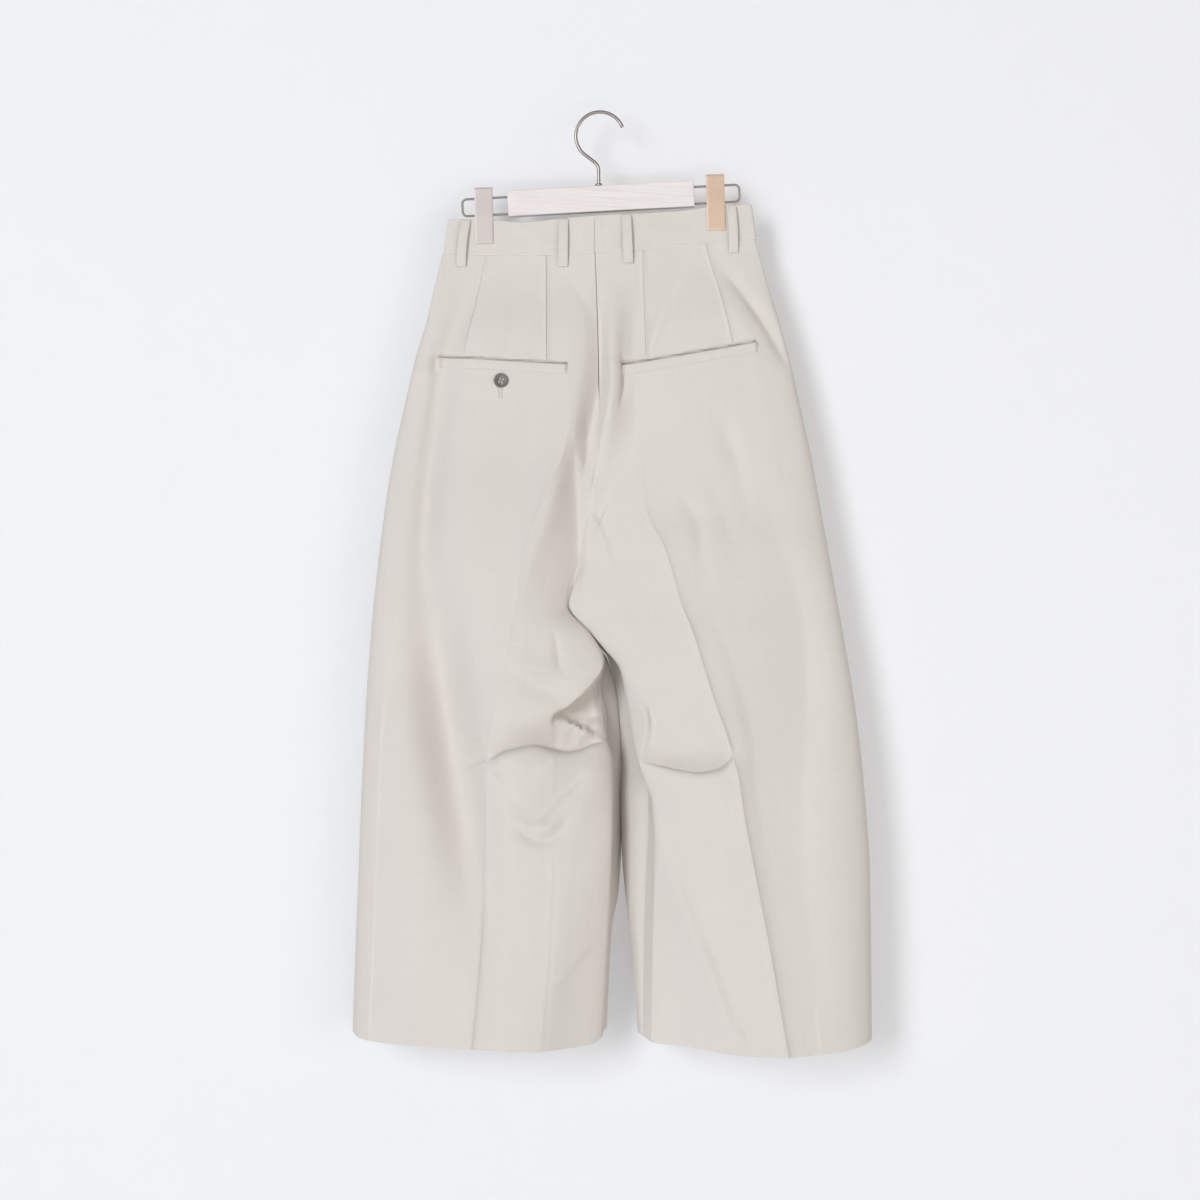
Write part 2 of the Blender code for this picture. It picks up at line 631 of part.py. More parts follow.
def make_fly(group, cloth, faces):
    """A placket on the front, straight along the centre and rounded at its foot."""
    rows = []
    for share in np.linspace(0.0, 1.0, 11):
        z = FLY_TOP - FLY_LENGTH * share
        rounding = max(0.0, (share - FLY_STRAIGHT) / FLY_ROUND)
        width = FLY_WIDTH * math.sqrt(1.0 - rounding ** 2)
        columns = [FLY_EDGE + width * i / 4 for i in range(5)]
        rows.append([(x, faces.at(x, z, 1) + FLY_GAP, z) for x in columns])
    add_sheet("fly", np.array(rows), group, cloth, CLOTH, offset=1.0)


def make_button(name, place, face_y, facing, group, cutters, material):
    """A turned four-hole button with a raised rim, its back towards the cloth."""
    x, z = place
    mesh = bpy.data.meshes.new(name)
    points = [(across * BUTTON_RADIUS * MM, 0.0, up * BUTTON_THICKNESS * MM)
              for across, up in BUTTON_PROFILE]
    edges = [(i, i + 1) for i in range(len(points) - 1)]
    mesh.from_pydata(points, edges, [])
    button = add_object(name, mesh, group, material)
    turn = button.modifiers.new("Turn", "SCREW")
    turn.steps = 20
    turn.render_steps = 20
    turn.use_merge_vertices = True
    turn.merge_threshold = 0.00001
    for hand_x in (-1, 1):
        for hand_y in (-1, 1):
            hole = (hand_x * BUTTON_HOLE_OFFSET * MM, hand_y * BUTTON_HOLE_OFFSET * MM, 0.0)
            bpy.ops.mesh.primitive_cylinder_add(vertices=8, radius=BUTTON_HOLE * MM,
                                                depth=4 * BUTTON_THICKNESS * MM, location=hole)
            cutter = bpy.context.active_object
            cutter.name = f"{name}_hole_{hand_x + 1}{hand_y + 1}"
            cutter.users_collection[0].objects.unlink(cutter)
            cutters.objects.link(cutter)
            cutter.hide_render = True
            cutter.display_type = "WIRE"
            cutter.parent = button
            cut = button.modifiers.new("Hole", "BOOLEAN")
            cut.object = cutter
    button.location = (x * MM, (face_y + facing * LIE_GAP) * MM, z * MM)
    button.rotation_euler = (-facing * math.pi / 2, 0.0, 0.0)


# ---------------------------------------------------------------- the hanger

def make_hanger_frame(group):
    frame = bpy.data.objects.new("hanger_frame", None)
    frame.location = (HANGER_CENTRE[0] * MM, 0.0, HANGER_CENTRE[1] * MM)
    frame.rotation_euler = (0.0, HANGER_TILT, 0.0)
    group.objects.link(frame)
    return frame


def make_bar(group, material, frame):
    bpy.ops.mesh.primitive_cube_add(size=1.0)
    bar = bpy.context.active_object
    bar.name = "hanger_bar"
    bar.users_collection[0].objects.unlink(bar)
    group.objects.link(bar)
    bar.data.name = "hanger_bar"
    for corner in bar.data.vertices:
        corner.co.x *= BAR_LENGTH * MM
        corner.co.y *= BAR_DEPTH * MM
        corner.co.z *= BAR_HEIGHT * MM
    bar.data.materials.append(material)
    rounding = bar.modifiers.new("Rounding", "BEVEL")
    rounding.width = BAR_ROUNDING * MM
    rounding.segments = 2
    bar.parent = frame


def make_rails(group, material, frame):
    """A wire loop past each end of the bar, on which the clips ride."""
    for name, hand in (("rail_left", -1), ("rail_right", 1)):
        inner = BAR_LENGTH / 2 + LIE_GAP
        outer = RAIL_REACH - RAIL_CORNER
        high = RAIL_SPACING / 2 - RAIL_DROP
        low = -RAIL_SPACING / 2 - RAIL_DROP
        upper = arc((outer, high - RAIL_CORNER), RAIL_CORNER, 90.0, 0.0, 4)
        lower = arc((outer, low + RAIL_CORNER), RAIL_CORNER, 0.0, -90.0, 4)
        points = [(inner, high)] + upper + lower + [(inner, low)]
        points = [(hand * x, z) for x, z in points]
        rail = add_wire(name, points, RAIL_WIRE, group, material)
        rail.parent = frame


def make_hook(group, material):
    """Three quarters of a circle, a slanted run and the upright stem."""
    centre = (0.0, -(HOOK_RADIUS - HOOK_WIRE / 2))
    bend = arc(centre, HOOK_RADIUS, HOOK_TIP_ANGLE, HOOK_LEAVE_ANGLE, 22)
    ball = [arc(centre, HOOK_RADIUS, HOOK_TIP_ANGLE + turn, HOOK_TIP_ANGLE, 1)[0]
            for turn, _ in HOOK_BALL]
    bar_top = HANGER_CENTRE[1] + BAR_HEIGHT / 2
    bar_top += (HOOK_STEM_X - HANGER_CENTRE[0]) * math.tan(-HANGER_TILT)
    stem = [(HOOK_STEM_X, HOOK_STEM_TOP), (HOOK_STEM_X, bar_top + HOOK_GAP)]
    points = ball + bend + list(HOOK_ELBOW) + stem
    radii = [swell for _, swell in HOOK_BALL] + [1.0] * (len(points) - len(HOOK_BALL))
    add_wire("hanger_hook", points, HOOK_WIRE, group, material, radii)


def make_clips(group, left_material, right_material):
    """Folded plates that straddle the rails and press the band between their jaws."""
    half = CLIP_PLATE / 2
    rail_clear = RAIL_WIRE / 2 + LIE_GAP + half
    band_clear = BAND_GAP_CLIP + BAND / 2 + LIE_GAP + half
    jaw = [(rail_clear, CLIP_SHOULDER[0]), (band_clear, CLIP_SHOULDER[1]),
           (band_clear, -CLIP_HEIGHT)]
    crown = arc((0.0, -half - rail_clear), rail_clear, 0.0, 180.0, 6)
    path = jaw[::-1] + crown + [(-y, z) for y, z in jaw]
    for (name, (x, z)), material in zip(CLIP_PLACES.items(), (left_material, right_material)):
        rows = [[(edge, -y, depth) for y, depth in path]
                for edge in (-CLIP_WIDTH / 2, 0.0, CLIP_WIDTH / 2)]
        clip = add_sheet(name, np.array(rows), group, material, CLIP_PLATE, offset=0.0)
        clip.location = (x * MM, 0.0, z * MM)
        clip.rotation_euler = (0.0, CLIP_TILT, 0.0)


def main():
    clear_scene()
    group = make_collection("culottes_on_clip_hanger")
    cutters = make_collection("cutters")
    cloth = make_material("cotton_twill", CLOTH_COLOUR, 0.9)
    horn = make_material("horn", HORN_COLOUR, 0.4)
    wood = make_material("washed_wood", WOOD_COLOUR, 0.6)
    nickel = make_material("satin_nickel", NICKEL_COLOUR, 0.35, 1.0)
    taupe = make_material("satin_taupe_metal", TAUPE_COLOUR, 0.4, 1.0)
    copper = make_material("satin_copper", COPPER_COLOUR, 0.38, 1.0)

    make_panels(group, cloth)
    make_waistband(group, cloth)
    faces = Faces([*PANELS, "waistband_left", "waistband_right"])
    make_loops(group, cloth, faces)
    make_welts(group, cloth, faces)
    make_fly(group, cloth, faces)
    pocket_y = faces.at(*POCKET_BUTTON, -1) - POCKET_SINK
    make_button("pocket_button", POCKET_BUTTON, pocket_y, -1, group, cutters, horn)
    lap_y = faces.at(*LAP_BUTTON, 1)
    make_button("waist_button", LAP_BUTTON, lap_y, 1, group, cutters, horn)

    frame = make_hanger_frame(group)
    make_bar(group, wood, frame)
    make_rails(group, nickel, frame)
    make_hook(group, nickel)
    make_clips(group, taupe, copper)


main()
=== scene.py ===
"""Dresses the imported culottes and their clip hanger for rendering.

Every cloth panel is the same loft as its solid, worked out on a fine grid: a section at height z
runs from the side seam over the pressed crease to the inner edge, turns under it and ends at the
inner seam. Folds are added as ridges and troughs that fall off from short curves. Sizes are in
millimetres and meshes in metres, in the frame's own axes: +Z up, the garment's back towards -Y.
"""
from __future__ import annotations

import logging
import math
from dataclasses import dataclass, field
from enum import Enum
from typing import Sequence

import bpy
import numpy as np
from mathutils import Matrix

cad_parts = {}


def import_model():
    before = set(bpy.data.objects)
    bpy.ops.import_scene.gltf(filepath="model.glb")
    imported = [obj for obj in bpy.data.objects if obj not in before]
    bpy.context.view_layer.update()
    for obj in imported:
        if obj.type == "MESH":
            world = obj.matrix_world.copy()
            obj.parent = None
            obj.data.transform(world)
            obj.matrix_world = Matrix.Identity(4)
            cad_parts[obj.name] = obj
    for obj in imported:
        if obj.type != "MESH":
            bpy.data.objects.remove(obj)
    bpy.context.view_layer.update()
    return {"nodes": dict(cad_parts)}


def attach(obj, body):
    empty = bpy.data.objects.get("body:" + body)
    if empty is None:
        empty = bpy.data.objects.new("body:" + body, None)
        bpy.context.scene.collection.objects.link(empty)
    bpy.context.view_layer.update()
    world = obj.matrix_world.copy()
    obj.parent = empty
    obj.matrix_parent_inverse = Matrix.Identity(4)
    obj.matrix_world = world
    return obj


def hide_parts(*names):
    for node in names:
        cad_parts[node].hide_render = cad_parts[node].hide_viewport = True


LOG = logging.getLogger("culottes")
MM = 0.001
Columns = dict[str, np.ndarray]
Point = tuple[float, float, float]

# Cloth
CLOTH = 1.1
HEM_CLOTH = 2.0
HEM_DEPTH = 38.0
SEAM_GAP = 0.3
SEAM_PULL = 0.22
CROTCH_PULL = 0.25
CROTCH_REACH = 30.0
LIE_GAP = 0.3
TUCK = 0.5
TUCK_REACH = 1.8
FLAT_SEAM_TOP = -290.0
FLAT_SEAM_BLEND = 50.0
FLAT_SEAM_PULL = -0.12
FLAT_SEAM_TUCK = 0.25
LEAN_REACH = 13.0
LEAN_EDGE = 3.0

# Waist
WAIST_HALF_WIDTH = 166.0
WAIST_FLARE = 0.030
BAND = 2.2
BAND_GAP_MIDDLE = 8.5
BAND_GAP_CLIP = 1.9
CLIP_REACH = 124.0
CENTRE_BACK_X = -6.0
LAP_LENGTH = 34.0
LAP_START = 14.0
LAP_RISE = 12.0

BAND_SEAM_RISE = 0.2
BAND_SEAM_PROUD = 0.75
BAND_SEAM_REACH = 12.0

# Panels
CROTCH_Z = -566.0
CREASE_SHARE = 0.55
EDGE_SHARE = 0.88
WAIST_BLEND = 90.0
CROTCH_BLEND = 50.0
CALM_SIDE = 0.06
PRESS_STRAIGHTENS_OUTER = 0.2
PRESS_STRAIGHTENS_INNER = 0.5
TURN_ROUNDS_INNER = 0.75
PRESS_RISE = 3.2
PRESS_WIDTH = 3.2
SWELL_TOP = -900.0
SWELL_BLEND = 90.0
SWELL_SHARE = 0.10


def table(names: str, *rows: Sequence[float]) -> Columns:
    """A table of sizes as a dictionary of columns.

    Args:
        names: The column names, parted by spaces.
        rows: The rows, each with a value for every name.

    Returns:
        Each name with its column.
    """
    return dict(zip(names.split(), np.array(rows, float).T))


SIDE_LEFT = table(
    "z x",
    (-130, -168), (-190, -182), (-230, -191), (-270, -203), (-320, -214.5), (-370, -225.5),
    (-430, -235.5), (-540, -248.5), (-650, -257), (-830, -265), (-1020, -272))
SIDE_RIGHT = table(
    "z x",
    (-130, 168), (-190, 185), (-230, 197), (-270, 208), (-320, 219), (-370, 230),
    (-430, 241), (-540, 260.5), (-650, 279), (-740, 289), (-830, 295), (-1020, 297))
CENTRE_BACK = table(
    "z x y face",
    (-130, -6.5, -8, 1), (-190, -4, -12, 1), (-270, -1.5, -17, 1), (-340, -1, -19, 1),
    (-380, -3, -19, 1), (-430, -13, -19, 1), (-480, -21, -19, 1), (-530, -31, -20, 1),
    (-545, -31, -18, 0.8), (-556, -28, -11, 0.4), (-566, -22, 3, 0))
CENTRE_FRONT = table(
    "z x y face",
    (-130, 0, 8, 1), (-270, 0, 18, 1), (-400, -3, 23, 1), (-500, -10, 19, 1), (-566, -22, 3, 0))
INSEAM_LEFT = table(
    "z x y face",
    (-566, -22, 3, 0), (-600, -2, 6, 0), (-645, 0, 7, 0), (-680, 4, 3, 0), (-717, 8, -5, 0),
    (-770, 7, -5, 0), (-830, 6, -3, 0), (-920, 4.5, -1, 0), (-1020, 1, 0, 0))
INSEAM_RIGHT = table(
    "z x y face",
    (-566, -22, 3, 0), (-600, 14, 7, 0), (-640, 36, 6, 0), (-680, 44, 2, 0),
    (-720, 50, -4, 0.4), (-755, 53, -11, 1), (-860, 49, -13, 1), (-1020, 46, -14, 1))
SECTION_COLUMNS = "z crease_x crease_y press edge_x edge_y turn"
BACK_LEFT = table(
    SECTION_COLUMNS,
    (-130, -56, -7, 0, -20, -8, 0),
    (-190, -52, -14, 0, -18, -13, 0),
    (-270, -42, -24, 0, -15, -20, 0),
    (-330, -32, -31, 0.1, -14, -24, 0),
    (-370, -38, -35, 0.3, -15, -22, 0),
    (-430, -64, -41, 0.5, -22, -21, 0),
    (-480, -80, -45, 0.4, -26, -22, 0),
    (-540, -91, -48, 0.3, -36, -23, 0.4),
    (-572, -97, -49, 0.3, -9.5, -23, 1),
    (-601, -102, -49, 0.3, 5.5, -22, 1),
    (-625, -107, -49, 0.3, 1, -12, 1),
    (-645, -112, -49, 0.3, 3, -7, 1),
    (-680, -119, -50, 0.3, 8, -4, 1),
    (-717, -123, -52, 0.3, 14.5, -9, 1),
    (-770, -123, -54, 0.5, 14, -23, 1),
    (-830, -124, -56, 0.9, 12.5, -28, 1),
    (-920, -129, -59, 1, 8.5, -26, 1),
    (-1020, -138, -62, 1, 2.5, -20, 1))
BACK_RIGHT = table(
    SECTION_COLUMNS,
    (-130, 50, -7.5, 0, 8, -9, 0),
    (-190, 51, -14, 0, 10, -14, 0),
    (-270, 51, -23, 0, 13, -20, 0),
    (-340, 50, -30, 0, 13, -24, 0),
    (-400, 46, -35, 0.1, 6, -25, 0),
    (-437, 50, -38, 0.4, -1, -24, 0),
    (-480, 70, -43, 0.6, -9, -24, 0),
    (-540, 88, -48, 0.8, -34, -24, 0.6),
    (-572, 101, -51, 0.9, -9, -25, 1),
    (-591, 107, -52, 0.9, 7, -26, 1),
    (-608, 112, -53, 0.9, 21, -27, 1),
    (-640, 122, -55, 0.9, 28, -28, 1),
    (-680, 136, -58, 0.9, 34.5, -28, 1),
    (-720, 148, -60, 0.9, 43, -26, 0.8),
    (-755, 153, -62, 1, 56, -25, 0.4),
    (-800, 161, -63, 1, 59, -25, 0.2),
    (-900, 180, -66, 1, 57, -26, 0.1),
    (-1020, 201, -68, 1, 55, -27, 0.1))
FRONT_LEFT = table(
    SECTION_COLUMNS,
    (-130, -62, 6.5, 0, -14, 8, 0),
    (-270, -76, 19, 0, -14, 19, 0),
    (-400, -92, 27, 0.3, -18, 25, 0),
    (-500, -102, 31, 0.5, -24, 24, 0.2),
    (-566, -108, 33, 0.6, -27, 16, 0.6),
    (-600, -110, 33.5, 0.6, 8, 27, 1),
    (-650, -114, 34.5, 0.6, 20, 33, 1),
    (-720, -120, 36, 0.7, 24, 34, 1),
    (-800, -125, 38, 0.8, 24, 32, 1),
    (-855, -128, 39, 0.85, 21, 24, 1),
    (-900, -131, 40, 0.9, 13, 15, 1),
    (-1020, -138, 42, 1, 7, 7, 1))
FRONT_RIGHT = table(
    SECTION_COLUMNS,
    (-130, 62, 6.5, 0, 14, 8, 0),
    (-270, 78, 19, 0, 14, 19, 0),
    (-400, 96, 27, 0.3, 12, 25, 0),
    (-500, 108, 31, 0.5, 6, 24, 0.2),
    (-566, 118, 33, 0.6, -17, 16, 0.6),
    (-600, 124, 34, 0.6, 9, 31, 1),
    (-640, 130, 34.5, 0.6, 17, 39, 1),
    (-680, 137, 35, 0.7, 20, 40, 1),
    (-740, 146, 36, 0.8, 22, 38, 1),
    (-820, 158, 38, 0.9, 24.5, 26, 1),
    (-860, 164, 39, 0.95, 28, 16, 1),
    (-910, 172, 40, 1, 34, 5, 1),
    (-1020, 190, 42, 1, 42, -3, 1))
BAND_TOP = table(
    "x z",
    (-170, -115.5), (-110, -118), (-82, -120), (-55, -117.5), (0, -113), (45, -110.5),
    (90, -107), (140, -100.5), (170, -100))
BAND_FOOT = table(
    "x z",
    (-180, -154.5), (-130, -156.8), (-60, -157.3), (0, -154.5), (45, -151.5), (110, -144.7),
    (170, -138.5))
HEM_LEFT = table(
    "x z",
    (-272, -1004), (-262, -1010), (-215, -1013), (-138, -1016), (-60, -1018.5), (-10, -1016),
    (8, -1006))
HEM_RIGHT = table(
    "x z",
    (41, -1008), (47, -1011), (56, -1015), (100, -1017), (150, -1022), (201, -1023),
    (260, -1019), (290, -1013), (304, -1007))


# ---------------------------------------------------------------- curves and surfaces

def along(value: np.ndarray, columns: Columns, name: str, key: str = "z") -> np.ndarray:
    """Reads a table column at any place on a cubic curve that never overshoots its rows.

    Args:
        value: Where to read it.
        columns: The table.
        name: The column to read.
        key: The column that value belongs to.

    Returns:
        The column's value at each place.
    """
    order = np.argsort(columns[key])
    knots = columns[key][order]
    heights = columns[name][order]
    steps = np.diff(knots)
    rises = np.diff(heights) / steps
    slopes = np.concatenate(([rises[0]], np.zeros(len(rises) - 1), [rises[-1]]))
    same = rises[:-1] * rises[1:] > 0.0
    total = np.where(same, rises[:-1] + rises[1:], 1.0)
    slopes[1:-1] = np.where(same, 2.0 * rises[:-1] * rises[1:] / total, 0.0)
    cell = np.clip(np.searchsorted(knots, value) - 1, 0, len(steps) - 1)
    share = (value - knots[cell]) / steps[cell]
    rest = 1.0 - share
    start = heights[cell] * rest * rest * (1.0 + 2.0 * share)
    end = heights[cell + 1] * share * share * (3.0 - 2.0 * share)
    bend = share * rest * (rest * slopes[cell] - share * slopes[cell + 1]) * steps[cell]
    return start + end + bend


def smooth_step(share: np.ndarray) -> np.ndarray:
    """0 below 0, 1 above 1, and three squares less two cubes of the share between."""
    share = np.clip(share, 0.0, 1.0)
    return share * share * (3.0 - 2.0 * share)


def dome(share: np.ndarray, power: float = 2.0) -> np.ndarray:
    """A quarter circle's rise, upright at 0 and level at 1; a higher power makes it boxier."""
    return np.clip(1.0 - (1.0 - share) ** power, 0.0, 1.0) ** (1.0 / power)


def mix(first: np.ndarray, second: np.ndarray, share: np.ndarray) -> np.ndarray:
    """The value a share of the way from first to second."""
    return first + (second - first) * share


def crowded(count: int, at_start: float, at_end: float, reach: float = 0.06) -> np.ndarray:
    """Places from 0 to 1 whose steps shrink by given shares near the two ends.

    Args:
        count: How many steps.
        at_start: How much smaller the first step is, from 0 to 1.
        at_end: How much smaller the last step is.
        reach: How far the crowding spreads.

    Returns:
        count + 1 rising places.
    """
    middle = (np.arange(count) + 0.5) / count
    step = 1.0 - at_start * np.exp(-middle / reach) - at_end * np.exp(-(1.0 - middle) / reach)
    places = np.concatenate(([0.0], np.cumsum(step)))
    return places / places[-1]


def spline(points: np.ndarray, steps: int) -> np.ndarray:
    """A smooth curve through points: Catmull and Rom's cubic between each two.

    Args:
        points: One row a point, of any width.
        steps: Steps between each two points.

    Returns:
        The rows of the curve, ends included.
    """
    before = np.vstack((2 * points[0] - points[1], points[:-2]))
    start = points[:-1]
    end = points[1:]
    after = np.vstack((points[2:], 2 * points[-1] - points[-2]))
    share = np.linspace(0.0, 1.0, steps, endpoint=False)[None, :, None]
    slope_start = (end - before)[:, None] / 2
    slope_end = (after - start)[:, None] / 2
    start = start[:, None]
    end = end[:, None]
    curve = (start + slope_start * share
             + (3 * (end - start) - 2 * slope_start - slope_end) * share ** 2
             + (2 * (start - end) + slope_start + slope_end) * share ** 3)
    return np.vstack((curve.reshape(-1, points.shape[1]), points[-1]))


def band_gap(x: np.ndarray) -> np.ndarray:
    """Half the distance between the band's two layers: a squared cosine, narrow at the clips."""
    share = np.clip(np.abs(x) / CLIP_REACH, 0.0, 1.0)
    return BAND_GAP_CLIP + (BAND_GAP_MIDDLE - BAND_GAP_CLIP) * np.cos(share * math.pi / 2) ** 2


@dataclass(frozen=True)
class Fold:
    """A ridge (or trough, where its heights are negative) along a smooth curve.

    Its height falls off with the distance from the curve as e to the power of minus the distance
    over the reach, raised to cusp: near 1 is a sharp line and 2 a soft one. A fold that leans also
    moves the cloth on its right-hand side over the curve, so that it overhangs.
    """

    points: tuple[Point, ...]
    left: float
    right: float
    cusp: float = 2.0
    lean: float = 0.0

    def add_to(self, total: np.ndarray, x: np.ndarray, z: np.ndarray,
               moved: np.ndarray | None = None) -> None:
        """Adds this fold's height at (x, z) to total, in place.

        Args:
            total: Heights so far.
            x: Places across.
            z: Places up.
            moved: How far the cloth moves across and up, for a fold that leans.
        """
        curve = spline(np.array(self.points), 5)
        margin = 3.0 * max(self.left, self.right)
        near = ((x > curve[:, 0].min() - margin) & (x < curve[:, 0].max() + margin)
                & (z > curve[:, 1].min() - margin) & (z < curve[:, 1].max() + margin))
        if not near.any():
            return
        px = x[near]
        pz = z[near]
        best = np.full_like(px, np.inf)
        side = np.zeros_like(px)
        height = np.zeros_like(px)
        off = np.zeros((len(px), 2))
        for start, end in zip(curve[:-1], curve[1:]):
            run = end[:2] - start[:2]
            share = ((px - start[0]) * run[0] + (pz - start[1]) * run[1]) / (run @ run)
            share = np.clip(share, 0.0, 1.0)
            off_x = px - start[0] - share * run[0]
            off_z = pz - start[1] - share * run[1]
            distance = off_x * off_x + off_z * off_z
            nearer = distance < best
            best = np.where(nearer, distance, best)
            side = np.where(nearer, run[0] * off_z - run[1] * off_x, side)
            height = np.where(nearer, start[2] + (end[2] - start[2]) * share, height)
            if self.lean:
                off = np.where(nearer[:, None], np.stack((off_x, off_z), axis=-1), off)
        reach = np.where(side > 0.0, self.left, self.right)
        total[near] += height * np.exp(-(np.sqrt(best) / reach) ** self.cusp)
        if self.lean and moved is not None:
            distance = np.sqrt(best)
            pull = (np.exp(-(distance / LEAN_REACH) ** 2) * (side < 0.0)
                    * (1.0 - np.exp(-(distance / LEAN_EDGE) ** 2)) * self.lean
                    * np.abs(height) / np.abs(curve[:, 2]).max())
            moved[near] -= off / np.maximum(distance, 0.1)[:, None] * pull[:, None]


@dataclass(frozen=True)
class Gather:
    """Draws the rows of a grid towards a line, so that a sharp fold along it has enough rows."""

    points: tuple[tuple[float, float], ...]
    strength: float = 0.8
    reach: float = 12.0
    fade: float = 12.0

    def move(self, x: np.ndarray, z: np.ndarray) -> np.ndarray:
        """The new heights: the height off the line shrinks by strength close to it.

        Args:
            x: Places across.
            z: Heights.

        Returns:
            The moved heights.
        """
        line = np.array(sorted(self.points))
        off = z - np.interp(x, line[:, 0], line[:, 1])
        window = (smooth_step((x - line[0, 0]) / self.fade + 1.0)
                  * smooth_step((line[-1, 0] - x) / self.fade + 1.0))
        return z - self.strength * window * off * np.exp(-(off / self.reach) ** 2)


# A scratch script worked out the millimetres of the next five tables from places set by eye.
BOTH_FOLDS = (
    Fold(((-21, -207, 0.8), (-19, -240, 2.4), (-19, -268, 3.6), (-21, -296, 4.8), (-26, -324, 5.5),
          (-32, -351, 6), (-40, -375, 6.5), (-48, -403, 6.5), (-59, -447, 6), (-75, -490, 5),
          (-86, -522, 3.5), (-95, -548, 2), (-99, -578, 1)), 14, 20, 2),
    Fold(((-4, -189, -1), (-1, -220, -3.2), (1, -256, -5.6), (0, -293, -6), (-5, -319, -5.2),
          (-10, -344, -5.2), (-11, -368, -4.2), (-10, -382, -1.5)), 7.5, 9.5, 1.6),
    Fold(((-30, -366, -2.4), (-29, -394, -4), (-27, -426, -4.6), (-25, -459, -4.2),
          (-25, -491, -3.2), (-28, -524, -2.2), (-35, -544, -1)), 6, 14, 1.9),
    Fold(((-22, -383, 1.5), (-13, -404, 2.6), (-10, -428, 2.8), (-11, -457, 2.6), (-13, -492, 2.4),
          (-18, -524, 2)), 9, 9, 1.8),
    Fold(((-37, -383, -0.5), (-27, -387, -2), (-19, -389, -1.8), (-11, -381, -1)), 2.5, 3.5, 1.5),
    Fold(((18, -182, 1), (15, -218, 4), (12, -257, 6.5), (13, -295, 8), (10, -323, 8.5),
          (5, -348, 8.5), (1, -366, 7.5), (-4, -388, 5.5), (-9, -408, 3.5),
          (-13, -435, 1.5)), 12, 8.5, 1.9),
    Fold(((50, -164, -1.6), (45, -196, -4.5), (40, -229, -7.5), (38, -263, -9), (39, -301, -10),
          (40, -337, -10), (35, -370, -9), (24, -398, -6.5), (12, -424, -3)), 36, 17, 1.8),
    Fold(((-14, -435, -1.5), (-4, -443, -2.5), (3, -454, -2.5), (10, -472, -2),
          (17, -494, -0.8)), 12, 3, 1.4),
)
